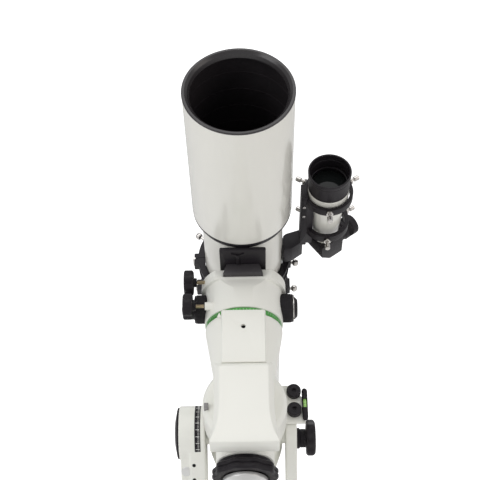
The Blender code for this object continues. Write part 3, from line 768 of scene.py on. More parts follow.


# %% [markdown]
# ## Tube rings
# Each ring is a hinged pair of halves, turned with a wide shallow groove round the outside that leaves two raised
# lips. The hinge is on the left and a thumb screw closes it on the right. A ring plate ties both rings to the
# dovetail bar.

# %% Rings, plate and bar
def ring_half(name, low, high, part):
    sign = 1 if part == "cap" else -1
    matrix = stand(POLAR, (0, low, TUBE_Z + 0.3 * sign), "Y")
    if part == "cap":
        matrix = matrix @ Matrix.Rotation(pi, 4, "Z")
    width = high - low
    outline = [(68.8, width), (68.8, width - 3), (66.6, width - 4), (66.6, width / 2 + 1.4),
        (67.6, width / 2 + 0.7), (67.6, width / 2 - 0.7), (66.6, width / 2 - 1.4), (66.6, 4), (68.8, 3),
        (68.8, 0), (58.9, 0), (58.9, width)]
    half = spin(name + "_half", outline, matrix, ANODISED, 72, 0.4, pi)
    seam = TUBE_Z + 0.3 * sign
    lugs = [block(f"{name}_lug_{side}", (x0, low + 3, min(seam, seam + 9 * sign)),
        (x1, high - 3, max(seam, seam + 9 * sign)), POLAR, ANODISED, 0, 2) for side, x0,
        x1 in (("hinge", -75, -63), ("clasp", 63, 71.5))]
    join(half, *lugs)
    if part == "base":
        join(half, block(name + "_foot", (-27, low + 0.1, 196.0), (27, high - 0.1, TUBE_Z - 60), POLAR,
            ANODISED))
    return half


for ring in ("front_ring", "rear_ring"):
    low, high = extent(ring + "_cap")[0].y, extent(ring + "_cap")[1].y
    for part in ("base", "cap"):
        put(ring_half(f"{ring}_{part}", low, high, part), f"{ring}_{part}")
    put(rod(ring + "_hinge_pin", 2.2, -9, 9, stand(POLAR, (-75, (low + high) / 2, TUBE_Z), "Y"), CHROME,
        32), body="saddle")
    screw_low, screw_high = extent(ring + "_screw")
    at = (0, (screw_low.y + screw_high.y) / 2, (screw_low.z + screw_high.z) / 2)
    put(spin(ring + "_thumb_screw", [(0, 83), (2.2, 82.9), (4.1, 82.0), (5.3, 80), (5.5, 78), (5.2, 76),
        (4.0, 74.6), (2.6, 74), (2.6, 69.5), (0, 69.5)], stand(POLAR, at, "X"), CHROME, 48, 0.5), ring
        + "_screw")

plate_low, plate_high = extent("ring_plate")
plate = block("ring_plate_milled", plate_low, plate_high, POLAR, ANODISED, 0.8, 3)
put(plate, "ring_plate")
bar_low, bar_high = extent("dovetail_bar")
bar_outline = [(-bar_high.x, bar_low.z), (bar_high.x, bar_low.z), (23, bar_high.z), (-23, bar_high.z)]
# The bar wears the lighter black, painted light that makes its end face read as lit.
dovetail = slab("dovetail_bar_milled", [(x, -z) for x, z in bar_outline], bar_high.y - bar_low.y,
    stand(POLAR, (0, bar_low.y, 0), "Y"), LIT_BAR_BLACK, 0.7)
put(dovetail, "dovetail_bar")
screws("ring_plate_screws", [(x, y, 0) for y in (-20, 92, 160) for x in (-18, 18)],
    stand(POLAR, (0, 0, plate_high.z)), "saddle", 4.0, 2.2, 2.0)

# %% [markdown]
# ## The saddle
# The saddle head is a casting: a drum that turns on the declination axis, its front cut to a slanted
# face, and a flat-fronted shelf with a channel for the dovetail bar. Its left wing is the clamping jaw.
# Both keep crisp machined edges beside the channel, so they are bevelled rather than melted.

# %% Saddle head and jaw
head_low, head_high = extent("saddle_head")
SADDLE_RADIUS, SADDLE_FRONT = 60.0, -45.0
DRUMS_AT, CLAMP_AT, CLUTCH_AT = (0, 0, 148), (0, -22, 179.4), (0, -33, 134)


def saddle_plan(radius=SADDLE_RADIUS, front=SADDLE_FRONT, steps=64):
    start = asin(front / radius)
    sweep = pi - 2 * start
    return [(radius * cos(start + sweep * i / steps), radius * sin(start + sweep * i / steps))
        for i in range(steps + 1)]


head = rod("saddle_head_casting", 55, 120, 172, stand(POLAR), MOUNT_PAINT, 144, 0.8)
join(head, slab("shelf_tool", saddle_plan(), 15, stand(POLAR, (0, 0, 170)), MOUNT_PAINT))
cut(head, slab("channel_tool", [(-75, -174), (28.8, -174), (24.9, -187), (-75, -187)], 140,
    stand(POLAR, (0, -70, 0), "Y"), MOUNT_PAINT), *[rod(f"drum_seat_{i}", 20.4, 43.6, 80,
    stand(POLAR, DRUMS_AT, way), MOUNT_PAINT) for i, way in enumerate(("X", "-X"))],
    slab("front_tool", [(-143, -58), (-169.8, -44.9), (-195, -44.9), (-195, -85), (-143, -85)], 160,
    stand(POLAR, (-80, 0, 0), "X"), MOUNT_PAINT), rod("clutch_hole", 3.0, 28, 70,
    stand(POLAR, CLUTCH_AT, "-X"), MOUNT_PAINT, 32))
put(bevelled(head, 0.9), "saddle_head")

jaw = slab("saddle_jaw_casting", saddle_plan(), 10.7, stand(POLAR, (0, 0, 174.3)), MOUNT_PAINT)
cut(jaw, slab("jaw_side_tool", [(-29.8, -170), (70, -170), (70, -190), (-23.6, -190)], 140,
    stand(POLAR, (0, -70, 0), "Y"), MOUNT_PAINT), rod("jaw_hole", 3.0, 20, 70,
    stand(POLAR, CLAMP_AT, "-X"), MOUNT_PAINT, 32))
put(bevelled(jaw, 0.9), "saddle_jaw")

put(rod("clutch_boss", 5.6, 36, 53.5, stand(POLAR, CLUTCH_AT, "-X"), MOUNT_PAINT, 48, 0.6),
    body="saddle")
returned("setting_circle", "Z", GREEN, 0.3, 128)
bars("setting_circle_ticks", stand(POLAR, (0, 0, 117.0)), TICK_WHITE, "saddle", 72, 52.9, 0.35, 0.5,
    3.0)
returned("declination_shaft", "Z", STEEL, 0.5, 64)
print("saddle shelf", round(head_high.z - head_low.z), "mm deep")

# %% [markdown]
# ## Side drums and the saddle's two hand wheels
# Two black drums cap the ends of a cross shaft: the left one is domed, the right one carries a thin
# bright ring. In front of them, both on the left, sit the seven-lobed wheels of the saddle clamp and
# the clutch, on bare brass-coloured screws.

# %% Drums and wheels
returned("side_drum_left", "-X", PLASTIC, 1.5, 96)
returned("side_drum_right", "X", PLASTIC, 1.0, 96)
put(spin("side_drum_right_ring", [(19.4, 71.0), (19.4, 69.4), (15, 69.0), (15, 71.0)],
    stand(POLAR, DRUMS_AT, "X"), CHROME, 96, 0.3), body="saddle")
for side, x, along in (("left", -57, "-X"), ("right", 57, "X")):
    bars(f"side_drum_{side}_knurl", stand(POLAR, (x, 0, 148), along), PLASTIC, "saddle", 60, 19.9, 1.0,
        0.9, 18)

for node, at, inner in (("saddle_knob", CLAMP_AT, 33), ("clutch_knob", CLUTCH_AT, 54)):
    matrix = stand(POLAR, at, "-X")
    hand_wheel(node, [(0, 83.4), (9, 83.4), (10, 84), (16, 84), (18.5, 82.4), (18.5, 72), (16.5, 70.5),
        (9.5, 70.5), (8.5, 71.6), (6.5, 71.6), (6.5, 66), (0, 66)], matrix, 7, 2.6, 18.5)
    screw = spin(node + "_screw", [(0, 66.4)] + [(2.6 - 0.25 * (i % 2), 66.4 - i * 0.5)
        for i in range(int((66.4 - inner) / 0.5))] + [(0, inner)], matrix, BRASS, 32, 0.0)
    put(screw, body=body_of[node])

# %% [markdown]
# ## The declination housing
# The largest casting: a cone that narrows from the setting circle to the counterweight end, and a
# round housing that runs back along the polar axis. The square pillar up the front keeps its machined
# edges, so it is a piece of its own on the same body.

# %% Declination housing
housing = cast("declination_housing_casting", [spin("cone", [(15, 113), (53.6, 113), (54, 112),
    (54, 106), (52, 95), (40, 25), (38, 0), (38, -84), (15, -84)], stand(POLAR), MOUNT_PAINT, 144, 1.0),
    spin("collar", [(0, 52), (57, 52), (57, -2), (52, -10), (0, -10)], stand(POLAR, (0, 0, 0), "Y"),
    MOUNT_PAINT, 144, 0.6)], [rod("bore", 20.5, -120, 130, stand(POLAR), MOUNT_PAINT),
    block("cover_seat", (-46, -90, -90), (46, -44.2, 30.3), POLAR, MOUNT_PAINT)])
put(housing, "declination_housing")
PILLAR_HOLE_AT = (0, 0, 84)
pillar = slab("declination_pillar", [(-30, -62), (-28.4, -65), (28.4, -65), (30, -62), (30, -25),
    (-30, -25)], 78.6, stand(POLAR, (0, 0, 30.4)), MOUNT_PAINT)
cut(pillar, rod("pillar_hole", 3.2, 55, 90, stand(POLAR, PILLAR_HOLE_AT, "-Y"), MOUNT_PAINT, 32))
put(bevelled(pillar, 0.7), body="declination_housing")


# %% [markdown]
# The front cover is a separate flared moulding: a loft between three outlines with the same number of
# points, which are its back, its shoulder and the raised panel. A slanted band joins the last two. Each
# outline is a half profile and its mirror, and the sides flare out ever faster towards the foot.

# %% Front cover
def cover_outline(top, bottom, high, low, flare_from, power):
    """Right side from the top down, then the left side up, as (x, z)."""
    steps = 14
    side = [(top, high), (top, high - 6)]
    for i in range(steps + 1):
        t = i / steps
        side.append((top + (bottom - top) * t ** power, flare_from + (low + 4 - flare_from) * t))
    side.append((bottom, low))
    return side + [(-x, z) for x, z in reversed(side)]


def loft(name, sections, basis, look, bevel):
    shape = bmesh.new()
    loops = [[shape.verts.new(p) for p in section] for section in sections]
    shape.faces.new(loops[0])
    shape.faces.new(loops[-1][::-1])
    for first, second in zip(loops, loops[1:]):
        for i in range(len(first)):
            j = (i + 1) % len(first)
            shape.faces.new((first[i], second[i], second[j], first[j]))
    thing = as_object(name, shape, look, stand(basis))
    return bevelled(thing, bevel, 4, 24)


cover_low, cover_high = extent("front_cover")
back, face = cover_high.y, cover_low.y
shoulder_outline = cover_outline(38.5, 44, 30, -86, -20, 2.2)
cover_sections = [(back, shoulder_outline), (face + 11.5, shoulder_outline),
    (face, cover_outline(32, 43.4, 21, -85, -28, 2.6))]
cover = loft("front_cover_moulding", [[(x, y, z) for x, z in outline] for y, outline in cover_sections],
    POLAR, MOUNT_PAINT, 1.6)
put(cover, "front_cover")
print("front cover", round(cover_high.x - cover_low.x), "mm wide at its foot")

# %% Small fittings on the housing
# Painted shade: a near-black cylinder set into the pillar's screw hole stands in for the shade inside it.
put(rod("pillar_hole_plug", 3.0, 58, 61, stand(POLAR, PILLAR_HOLE_AT, "-Y"), HOLE_SHADE_AND_PRINT_BLACK, 32, 0.2),
    body="declination_housing")
put(slab("circle_pointer", [(-3, 0), (3, 0), (0, 7)], 1.6, stand(POLAR, (-33, -46.5, 108), "Z")
    @ Matrix.Rotation(pi / 2, 4, "X"), MOUNT_PAINT, 0.3), body="declination_housing")
put(block("cable_socket_block", (-54, -16, -12), (-48, -6, -4), POLAR, GREY, 0.6),
    body="declination_housing")

# %% [markdown]
# ## Lock ring, collar, counterweight shaft and weights
# At the lower end a ten-lobed ring locks the counterweight shaft, and the satin collar inside it has a
# cap screw. The shaft is turned steel, the weights are painted iron with a chrome lock screw.

# %% The counterweight end
ring_matrix = stand(POLAR, (0, 0, 0), "-Z")
hand_wheel("lock_ring", [(36, 84.5), (36, 89.5), (40.5, 90.5), (43, 92), (43, 96.2), (40.8, 97),
    (40.8, 98), (43, 98.8), (43, 103), (41, 105), (32, 105), (30.2, 103), (19, 103), (19, 84.5)],
    ring_matrix, 10, 3.0, 43, corner=0.8)
put(spin("shaft_collar_turned", [(9.3, 118), (22.5, 118), (24, 117), (29, 110), (29, 105.3),
    (18, 105.3), (18, 86), (9.3, 86)], ring_matrix, SATIN, 96, 0.5), "shaft_collar")
screws("collar_screw", [(-14.0, 0, 118)], ring_matrix, "declination_housing", 6.6, 7.0, 3.0)
# Painted shade: a small near-black head stands in for the shade inside the collar's small hole.
screws("collar_vent", [(9.0, 14.0, 117.6)], ring_matrix, "declination_housing", 2.0, 0.8, 1.2, HOLE_SHADE_AND_PRINT_BLACK)
returned("counterweight_shaft", "-Z", STEEL, 1.0, 64)
returned("toe_stop", "-Z", ANODISED, 0.8, 64)
bars("toe_stop_knurl", stand(POLAR, (0, 0, extent("toe_stop")[0].z + 7), "-Z"), ANODISED,
    "declination_housing", 48, 14.9, 0.9, 0.8, 7)
for node in ("counterweight_upper", "counterweight_lower"):
    weight_low, weight_high = extent(node)
    outline = [(9.3, 0), (16, 0), (17, -1.2), (19, -1.2), (20, 0), (56, 0), (60, -4), (60, -19),
        (58.8, -20), (58.8, -22), (60, -23), (60, -38), (56, -42), (20, -42), (19, -40.8), (17, -40.8),
        (16, -42), (9.3, -42)]
    put(spin(node + "_turned", outline, stand(POLAR, (0, 0, weight_high.z)), WEIGHT_PAINT, 144, 0.8),
        node)
    lock = spin(node + "_lock_screw", [(0, 68), (5, 68), (6.5, 66.5), (6.5, 60.2), (3, 59.4), (3, 56),
        (0, 56)], stand(POLAR, (0, 0, (weight_low.z + weight_high.z) / 2), "-Y"), CHROME, 48, 0.6)
    put(lock, body=node)

# %% [markdown]
# ## The polar housing, its clamps and the level
# The housing is turned along the polar axis and carried on two trunnions. A flat bracket on the right
# holds two cap screws and a small spirit level.

# %% Polar housing and what sits on it
TRUNNION_Y = (POLAR.inverted() @ Vector(joint["altitude_adjust"]["pos_m"])).y / MM
polar = cast("polar_housing_casting", [spin("barrel", [(30, 205), (40, 205), (44, 199), (49, 160),
    (52, 132), (52, 64), (55, 62), (55, 52.3), (24, 52.3), (24, 66), (44, 66), (44, 98), (30, 100)],
    stand(POLAR, (0, 0, 0), "Y"), MOUNT_PAINT, 144, 0.8), spin("left_trunnion",
    [(16, 46), (16, 86), (9, 86), (9, 46)], stand(POLAR, (0, TRUNNION_Y, 0), "-X"), MOUNT_PAINT, 64,
    0.4), spin("right_trunnion", [(16, 46), (16, 64), (9, 64), (9, 46)], stand(POLAR,
    (0, TRUNNION_Y, 0), "X"), MOUNT_PAINT, 64, 0.4), slab("bracket", [(44, 0), (84, 0), (84, -34),
    (70, -52), (64, -58), (44, -58)], 4, stand(POLAR, (0, 62, 0), "Y"), MOUNT_PAINT)], [], 1.3, 3)
put(polar, "polar_housing")
put(spin("polar_rear_cap_turned", [(0, 219), (18, 219), (20, 218), (24, 218), (27, 216), (39, 213),
    (39, 205.3), (0, 205.3)], stand(POLAR, (0, 0, 0), "Y"), PLASTIC, 96, 0.8), "polar_rear_cap")
bars("polar_cap_knurl", stand(POLAR, (0, 209.3, 0), "Y"), PLASTIC, "polar_housing", 90, 38.9, 1.1, 0.9,
    6)
returned("polar_worm", "X", STEEL, 0.3, 64)
returned("polar_shaft", "Y", STEEL, 0.5, 96)
bars("worm_wheel_teeth", stand(POLAR, (0, 82, 0), "Y"), BRASS, "declination_housing", 96, 37.3, 1.3,
    1.2, 10)

for node, z in (("clamp_screw_upper", 46), ("clamp_screw_lower", 18)):
    matrix = stand(POLAR, (68.5, 62, z), "-Y")
    shape = cap_screw_shape(10, 8.7, 3.2)
    put(as_object(node + "_turned", shape, PLASTIC, matrix), node)
    put(spin(node + "_groove", [(8.2, 8.9), (8.2, 8.3), (7.4, 8.3), (7.4, 8.9)], matrix, ANODISED, 64,
        0.15), body="polar_housing")
    bars(node + "_knurl", matrix @ Matrix.Translation((0, 0, 4.2)), PLASTIC, "polar_housing", 36, 9.9,
        0.9, 0.7, 6.5)

vial_low, vial_high = extent("vial_body")
vial_at = ((vial_low.x + vial_high.x) / 2, (vial_low.y + vial_high.y) / 2, vial_low.z)
vial = spin("vial_body_turned", [(0, 48), (2.4, 47.6), (3.6, 46), (4.1, 43.5), (4.1, 4.5), (3.6, 2),
    (2.4, 0.4), (0, 0)], stand(POLAR, vial_at), PLASTIC, 48, 0.5)
cut(vial, block("vial_window", (78, 50, 20), (89, vial_at[1] - 0.2, 33), POLAR, PLASTIC),
    rod("vial_seat", 2.6, 16, 33, stand(POLAR, vial_at), PLASTIC, 32))
put(vial, "vial_body")
returned("level_vial", "Z", VIAL, 0.6, 48)
bars("level_lines", stand(POLAR, (vial_at[0], vial_at[1], 26.5)), HOLE_SHADE_AND_PRINT_BLACK, "polar_housing", 2, 0.01, 4.75,
    4.75, 0.3, sides=24)

# %% [markdown]
# ## The fork
# The left arm carries the altitude drum with its scale, and a dark cap on its outer face. The right arm
# is narrower. Both stand on the round fork base, which turns on the pier plate.

# %% Fork arms, scale and base
AZIMUTH_AT, SCALE_RADIUS = (0, -69, 25), 38.35
drum_at = (0, 0, ALTITUDE_Z)
left = cast("left_arm_casting", [rod("drum", 38, 56, 93, stand(WORLD, drum_at, "-X"), MOUNT_PAINT, 144,
    1.0), block("rib", (-77.5, -36, 56.3), (-56, 36, 225), WORLD, MOUNT_PAINT),
    block("web", (-91, -29, 56.3), (-70, 31, 200), WORLD, MOUNT_PAINT)], [rod("left_bore", 16.4, 40, 88,
    stand(WORLD, drum_at, "-X"), MOUNT_PAINT)], 1.3, 2)
put(left, "left_arm")
returned("drum_cap", "-X", PLASTIC, 0.8, 128, WORLD)
put(spin("scale_band", [(SCALE_RADIUS, 70.5), (SCALE_RADIUS, 62.5), (37.6, 62.5), (37.6, 70.5)],
    stand(WORLD, drum_at, "-X") @ Matrix.Rotation(radians(-170), 4, "Z"), PLASTIC, 144, 0.1,
    radians(190)), body="fork")
bars("scale_ticks", stand(WORLD, (-65.2, 0, ALTITUDE_Z), "-X"), TICK_WHITE, "fork", 61, SCALE_RADIUS,
    0.45, 0.5, 2.6, -160, 170, 4)
bars("scale_long_ticks", stand(WORLD, (-66.3, 0, ALTITUDE_Z), "-X"), TICK_WHITE, "fork", 13,
    SCALE_RADIUS, 0.7, 0.55, 5.0, -160, 184, 4)
put(spin("arm_plug", [(0, 1.2), (6.4, 1.2), (7.2, 0.4), (7.2, -1), (0, -1)], stand(WORLD,
    (-83.6, -28.8, 174), "-Y"), SATIN, 64, 0.3), body="fork")
# Painted shade: two thin near-black discs on the arm stand in for the shade inside its two screw holes.
for label, z in (("low", 164.5), ("high", 186)):
    put(rod("arm_hole_" + label, 2.5, 35.6, 36.3, stand(WORLD, (-72.1, 0, z), "-Y"), HOLE_SHADE_AND_PRINT_BLACK, 32, 0.2),
        body="fork")

right = cast("right_arm_casting", [rod("boss", 25, 56, 71.5, stand(WORLD, drum_at, "X"), MOUNT_PAINT,
    128, 1.0), block("rib", (56, -25, 56.3), (71.5, 33, 212), WORLD, MOUNT_PAINT)],
    [rod("right_bore", 16.4, 40, 68, stand(WORLD, drum_at, "X"), MOUNT_PAINT)], 1.2, 2)
put(right, "right_arm")

base = cast("fork_base_casting", [spin("floor", [(0, 56), (60, 56), (62, 55), (74, 44), (80, 34),
    (80, 14.3), (0, 14.3)], stand(WORLD), MOUNT_PAINT, 144, 1.5), block("left_foot", (-93, -38, 30),
    (-46, 38, 55.9), WORLD, MOUNT_PAINT), block("right_foot", (46, -38, 30), (72, 38, 55.9), WORLD,
    MOUNT_PAINT)], [block("peg_slot", (-16, -84, 8), (16, -56, 38), WORLD, MOUNT_PAINT),
    rod("azimuth_screw_hole", 8.2, -130, 130, stand(WORLD, AZIMUTH_AT, "X"), MOUNT_PAINT, 48)], 1.5, 3)
put(base, "fork_base")
plate = spin("pier_plate_turned", [(0, 14), (78, 14), (80, 12), (80, 9), (79, 8), (79, 6), (80, 5),
    (80, 0), (0, 0)], stand(WORLD), ANODISED, 144, 0.6)
join(plate, block("azimuth_peg", (-6, -76, 10), (6, -62, 34), WORLD, ANODISED, 0.6))
put(plate, "pier_plate")

# %% [markdown]
# The altitude wheel has seven lobes, the two azimuth wheels six. Their stems are turned in one piece
# with the wheel here, and the thread of each azimuth screw is a sleeve of rings round its stem.

# %% Altitude and azimuth wheels
wheel_low, wheel_high = extent("altitude_knob", WORLD)
wheel_z = (wheel_low.z + wheel_high.z) / 2
hand_wheel("altitude_knob", [(0, 97), (9, 97), (10.5, 98), (22, 98), (26, 95.4), (26, 87.6), (23.5, 85),
    (13.6, 85), (12.7, 84), (12.7, 77), (13.4, 76), (14.6, 75.4), (14.6, 71.8), (0, 71.8)],
    stand(WORLD, (0, 0, wheel_z), "X"), 7, 2.4, 26, corner=1.6)
bars("altitude_stem_ridges", stand(WORLD, (80.4, 0, wheel_z), "X"), PLASTIC, "altitude_knob", 30, 12.6,
    1.0, 0.8, 6)
for side, along in (("left", "-X"), ("right", "X")):
    matrix = stand(WORLD, AZIMUTH_AT, along)
    hand_wheel("azimuth_knob_" + side, [(0, 107.2), (6, 107.2), (7, 108), (14, 108), (17, 105.6),
        (17, 94), (15, 92), (6, 92), (6, 12), (2.5, 6.3), (0, 6.3)], matrix, 6, 2.5, 17, corner=1.0)
    put(spin(f"azimuth_{side}_thread", [(6.02 + 0.3 * (i % 2), 91 - i * 0.6) for i in range(90)]
        + [(5.6, 37.5), (5.6, 91)], matrix, STEEL, 40, 0.0), body="azimuth_knob_" + side)

# %% [markdown]
# ## Focuser, diagonal and eyepiece
# A rack and pinion focuser with a chrome drawtube, coarse wheels on both ends of the pinion and a fine
# wheel on the right. The star diagonal turns in the drawtube and holds an eyepiece with a rubber grip
# and a folded eye cup.

# %% Focuser
knobs_low, knobs_high = extent("focus_knobs")
PINION_Y, PINION_Z = (knobs_low.y + knobs_high.y) / 2, (knobs_low.z + knobs_high.z) / 2
focuser = spin("focuser_body_turned", [(36, 932), (37.5, 930), (37.5, 912), (36.6, 911), (36.6, 908),
    (37.5, 907), (37.5, 878), (39, 875), (50, 868), (58, 860), (58, 858.3), (32.4, 858.3), (32.4, 932)],
    axis_at_front, ANODISED, 128, 0.6)
join(focuser, block("pinion_box", (-22, FRONT + 884, PINION_Z - 14), (22, FRONT + 926, TUBE_Z - 34),
    POLAR, ANODISED, 0, 4))
cut(focuser, rod("pinion_hole", 9, -60, 60, stand(POLAR, (0, PINION_Y, PINION_Z), "X"), ANODISED))
put(bevelled(focuser, 0.5, 2), "focuser_body")
screws("pinion_box_screws", [(x, y, 0) for x in (-16, 16) for y in (FRONT + 889, FRONT + 921)],
    stand(POLAR, (0, 0, PINION_Z - 14), "Z") @ Matrix.Scale(-1, 4, (0, 0, 1)), "saddle", 2.8, 1.8, 1.4)
returned("drawtube", "Y", CHROME, 0.6, 128)
bars("drawtube_collar_knurl", stand(POLAR, (0, extent("drawtube")[1].y - 12, TUBE_Z), "Y"), ANODISED,
    "drawtube", 110, 36.0, 1.0, 0.9, 16)
pinion = stand(POLAR, (0, PINION_Y, PINION_Z), "X")
returned("focus_knobs", "X", ANODISED, 1.2, 96)
returned("fine_knob", "X", ANODISED, 0.8, 72)
for label, height in (("left", -50), ("right", 50)):
    bars(f"focus_{label}_ridges", pinion @ Matrix.Translation((0, 0, height)), RUBBER, "focus_knobs",
        72, 23.9, 1.2, 1.3, 13)
bars("fine_knob_ridges", pinion @ Matrix.Translation((0, 0, 67)), CHROME, "fine_knob", 48, 15.4, 1.0,
    0.9, 8)

# %% Diagonal and eyepiece
y, z = FRONT + 995, TUBE_Z
sides = [(y - 29, z - 29), (y + 8, z - 29), (y + 29, z - 8), (y + 29, z + 31), (y - 29, z + 31)]
diagonal = slab("star_diagonal_body", [(-h, d) for d, h in sides], 58, stand(POLAR, (-29, 0, 0), "X"),
    ANODISED, 0, 3)
join(diagonal, rod("diagonal_nose", 25.3, 938, y - 27 - FRONT, axis_at_front, ANODISED, 96),
    spin("diagonal_holder", [(0, 54), (21, 54), (21, 44), (25, 40), (25, 29), (0, 29)],
    stand(POLAR, (0, y, z)), ANODISED, 96, 0.6))
cut(diagonal, rod("nose_bore", 21, 930, y - 8 - FRONT, axis_at_front, ANODISED),
    rod("holder_bore", 16.2, 24, 60, stand(POLAR, (0, y, z)), ANODISED))
put(bevelled(diagonal, 0.9), "star_diagonal")
put(spin("holder_thumb_screw", [(0, 34.5), (3.4, 34.5), (4.2, 33.8), (4.2, 30), (3, 29.2), (1.8, 29.2),
    (1.8, 20.6), (0, 20.6)], stand(POLAR, (0, y, z + 49), "Y"), CHROME, 48, 0.4), body="diagonal")
for side, along in (("left", "-X"), ("right", "X")):
    screws(f"diagonal_{side}_screws", [(a, b, 29) for a in (-21, 21) for b in (-21, 15)],
        stand(POLAR, (0, y, z), along), "diagonal", 2.4, 0.9, 1.2)
eye = stand(POLAR, (0, y, z))
put(spin("eyepiece_turned", [(0, 116), (11, 116), (18.2, 127.4), (20, 128), (22, 127.4), (24, 124),
    (24, 105), (23.2, 104), (23.2, 91), (24, 90), (24, 86), (21, 84), (21, 62), (17, 54.3),
    (15.8, 54.3), (15.8, 30), (12.5, 30), (12.5, 60), (0, 60)], eye, ANODISED, 96, 0.6), "eyepiece")
bars("eyepiece_grip", eye @ Matrix.Translation((0, 0, 97.5)), RUBBER, "diagonal", 80, 23.2, 1.1, 1.1,
    12)
put(spin("eye_lens", [(0, 117.6), (6, 117.3), (10.4, 116.5), (10.4, 116.1), (0, 116.1)], eye, GLASS, 64,
    0.2), body="diagonal")

# %% [markdown]
# ## The finder
# A 50 mm right-angle finder: black objective cell with turned bands, white tube, and a two-ring bracket
# whose chrome screws with lock nuts aim it. The bracket's arm bolts to the ring plate.

# %% Finder optics
finder_axis = stand(POLAR, (FINDER_X, FINDER_Y, FINDER_Z), "Y")
put(spin("finder_cell_turned", [(25, 62), (25, 58), (25.4, 57), (25.4, 54), (26.4, 50), (28, 44),
    (28.4, 36), (28.4, 34.8), (28.9, 34), (29, 20), (29.6, 8), (29.4, 7.2), (29.4, 6.2), (29.8, 5.4),
    (30, 0.4), (29.6, 0), (27.9, 0), (27.5, 0.6), (27.2, 9), (26.6, 9.6), (26.6, 26), (25.6, 27),
    (25.6, 37), (23, 38), (23, 62)], finder_axis, PLASTIC, 128, 0.35), "finder_cell")
put(spin("finder_retaining_ring", [(26.4, 25.6), (26.4, 23.6), (24.4, 23.9), (24.4, 25.6)], finder_axis,
    ANODISED, 96, 0.3), body="saddle")
returned("finder_lens", "Y", GLASS, 0.3, 96)
put(spin("finder_white_band", [(28.9, 47), (28.9, 34.9), (28.2, 34.9), (27.2, 47)], finder_axis,
    TUBE_PAINT, 96, 0.3), body="saddle")
put(spin("finder_front_ring", [(28.6, 62), (28.6, 55.4), (26.1, 55.4), (26.1, 62)], finder_axis,
    TUBE_PAINT, 96, 0.4), body="saddle")
returned("finder_tube", "Y", TUBE_PAINT, 0.4, 96)
put(spin("finder_lining", [(22.9, 38.4), (21.2, 62.3), (19.8, 100), (16.3, 149), (16.0, 149),
    (19.5, 100), (20.9, 62.3), (22.6, 38.4)], finder_axis, FLOCKING, 96, 0.0), body="saddle")

# %% Bracket, arm and screws
bracket = spin("finder_bracket_turned", [(35, 57), (35, 44), (30.4, 44), (30.4, 57)], finder_axis,
    PLASTIC, 96, 0.8)
FINDER_BACK, FRONT_SCREWS, REAR_SCREWS = FINDER_Y + 112, 48, 119
join(bracket, spin("rear_loop", [(33, 14), (33, 0), (27, 0), (27, 14)], stand(POLAR,
    (FINDER_X, FINDER_BACK, FINDER_Z), "Y"), PLASTIC, 96, 0.8), block("bridge",
    (83, FINDER_Y + 40, FINDER_Z - 16), (92.5, FINDER_Y + 156, FINDER_Z + 8), POLAR, PLASTIC, 0, 1.5),
    slab("bridge_plate", [(84, FINDER_Y + 44), (92.5, FINDER_Y + 44), (101, FINDER_Y + 72),
    (101, FINDER_Y + 150), (84, FINDER_Y + 150)], 5, stand(POLAR, (0, 0, FINDER_Z - 16.6)), PLASTIC, 0,
    1.5), slab("arm", [(59.2, -247), (59.2, -272), (64, -276), (88, -284), (88, -262), (72, -250)], 34,
    stand(POLAR, (0, FRONT + 330, 0), "Y"), PLASTIC, 0, 1.5))
cut(bracket, rod("finder_screw_hole", 2.4, 20, 45, stand(POLAR, (FINDER_X, FINDER_Y + FRONT_SCREWS,
    FINDER_Z), "-Z"), PLASTIC, 32))
put(bevelled(bracket, 0.6, 2), "finder_bracket")
screws("bridge_screws", [(87.6, FINDER_Y + y, 0) for y in (62, 84)], stand(POLAR, (0, 0, FINDER_Z - 16))
    @ Matrix.Scale(-1, 4, (0, 0, 1)), "saddle", 2.2, 1.0, 1.1, CHROME)


def adjusting_screw(name, matrix, inner, reach):
    """Thumb head and bare thread, pointing outwards along Z."""
    head = reach - 8
    thread = [(2.0 + 0.18 * (i % 2), head - 0.5 - i * 0.5)
        for i in range(int((head - inner - 1) / 0.5))]
    return spin(name, [(0, reach), (3.0, reach), (3.8, reach - 0.8), (3.8, head + 0.8), (3.2, head),
        (2.1, head)] + thread + [(1.2, inner), (0, inner)], matrix, CHROME, 40, 0.25)


def lock_nut(name, matrix, low):
    return spin(name, [(4.6, low + 3), (5.0, low + 2.5), (5.0, low + 0.5), (4.6, low), (2.4, low),
        (2.4, low + 3)], matrix, CHROME, 40, 0.3)


at = (FINDER_X, FINDER_Y + FRONT_SCREWS, FINDER_Z)
put(adjusting_screw("finder_screw_turned", stand(POLAR, at, "-Z"), 29.8, 51), "finder_screw")
put(lock_nut("finder_screw_nut", stand(POLAR, at, "-Z"), 36.2), body="saddle")
for row, offset, outer in (("front", FRONT_SCREWS, 35.2), ("rear", REAR_SCREWS, 33.2)):
    for number, turn in enumerate((120, 240) if row == "front" else (0, 120, 240)):
        around = (stand(POLAR, (FINDER_X, FINDER_Y + offset, FINDER_Z), "Y")
            @ Matrix.Rotation(radians(90 + turn), 4, "Z") @ Matrix.Rotation(pi / 2, 4, "Y"))
        name = f"finder_{row}_screw_{number + 1}"
        put(adjusting_screw(name, around, outer - 6 if row == "front" else 24, outer + 15.6),
            body="saddle")
        put(lock_nut(name + "_nut", around, outer + 1.0), body="saddle")

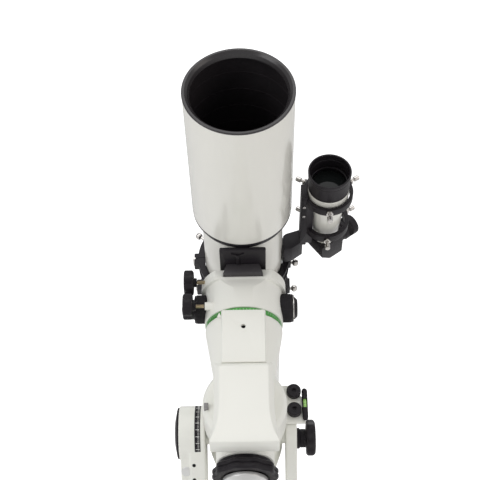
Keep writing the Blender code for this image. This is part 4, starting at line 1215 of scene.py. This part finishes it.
# %% Prism and finder eyepiece
PRISM_Y = FINDER_Y + 171
prism = slab("finder_prism_body", [(-20, PRISM_Y - 20), (-20, PRISM_Y + 4), (-3, PRISM_Y + 21),
    (20, PRISM_Y + 21), (20, PRISM_Y - 20)], 38, stand(FINDER, (0, 0, -19)), PLASTIC, 0, 1.5)
corner = (0, PRISM_Y, 0)
cut(prism, rod("prism_nose_bore", 14, -30, -8, stand(FINDER, corner, "Y"), PLASTIC),
    rod("prism_side_bore", 13, 10, 30, stand(FINDER, corner, "X"), PLASTIC))
put(bevelled(prism, 1.0), "finder_prism")
screws("prism_screws", [(a, PRISM_Y + b, 19) for a, b in ((-12, -14), (13, -14), (13, 14))],
    stand(FINDER), "saddle", 1.8, 0.7, 0.9)
put(spin("finder_eyepiece_turned", [(0, 53), (8.6, 53), (12.0, 55.8), (13.4, 56), (15, 54.4),
    (15.5, 52), (15.5, 46), (14.8, 45), (14.8, 37), (15.5, 36), (15.5, 32), (14, 30), (14, 21.3),
    (12.6, 21.3), (12.6, 12), (0, 12)], stand(FINDER, corner, "X"), PLASTIC, 96, 0.5),
    "finder_eyepiece")
bars("finder_eyepiece_grip", stand(FINDER, corner, "X") @ Matrix.Translation((0, 0, 41)), RUBBER,
    "saddle", 60, 14.8, 1.0, 1.0, 8)

# %% [markdown]
# ## Small things underneath
# The plate that ties the rings carries a low rib with two wings on its underside, just ahead of the
# bar, and a ball-headed screw stands on the left shoulder of the front ring's cap.

# %% Plate rib and the ball screw
put(block("plate_rib", (-9, plate_low.y + 10, plate_low.z - 3), (-5, bar_low.y - 0.5, plate_low.z),
    POLAR, ANODISED, 0.6), body="saddle")
put(slab("plate_rib_wings", [(-16, 0), (-7, 5), (2, 0), (2, 1.6), (-7, 7), (-16, 1.6)], 2,
    stand(POLAR, (0, plate_low.y + 6, plate_low.z - 2.2)), ANODISED, 0.3), body="saddle")
cap_low, cap_high = extent("front_ring_cap")
put(spin("front_ring_ball_screw", [(0, 87.5), (2.2, 87.4), (4.1, 86.5), (5.3, 84.5), (5.5, 82.5),
    (5.2, 80.5), (4.0, 79.1), (2.6, 78.5), (2.6, 67.5), (0, 67.5)], stand(POLAR,
    (0, (cap_low.y + cap_high.y) / 2, TUBE_Z)) @ Matrix.Rotation(radians(-56), 4, "Y"), CHROME, 48,
    0.5), body="front_ring_cap")

# %% [markdown]
# ## Handing over
# Last, every CAD solid that is still shown gets a real finish, and the pieces and their triangles are counted.

# %% Finishes for the solids that stay, and the end
shown = [n for n, solid in frame["nodes"].items() if not solid.hide_render]
for node in shown:
    for material_slot in frame["nodes"][node].material_slots:
        material_slot.material = ANODISED
print("CAD solids still shown:", shown or "none")
triangles = sum(sum(len(p.vertices) - 2 for p in piece.data.polygons) for piece in made_pieces)
largest = max(made_pieces, key=lambda p: len(p.data.polygons))
print(len(made_pieces), "pieces,", triangles, "triangles; largest is", largest.name)
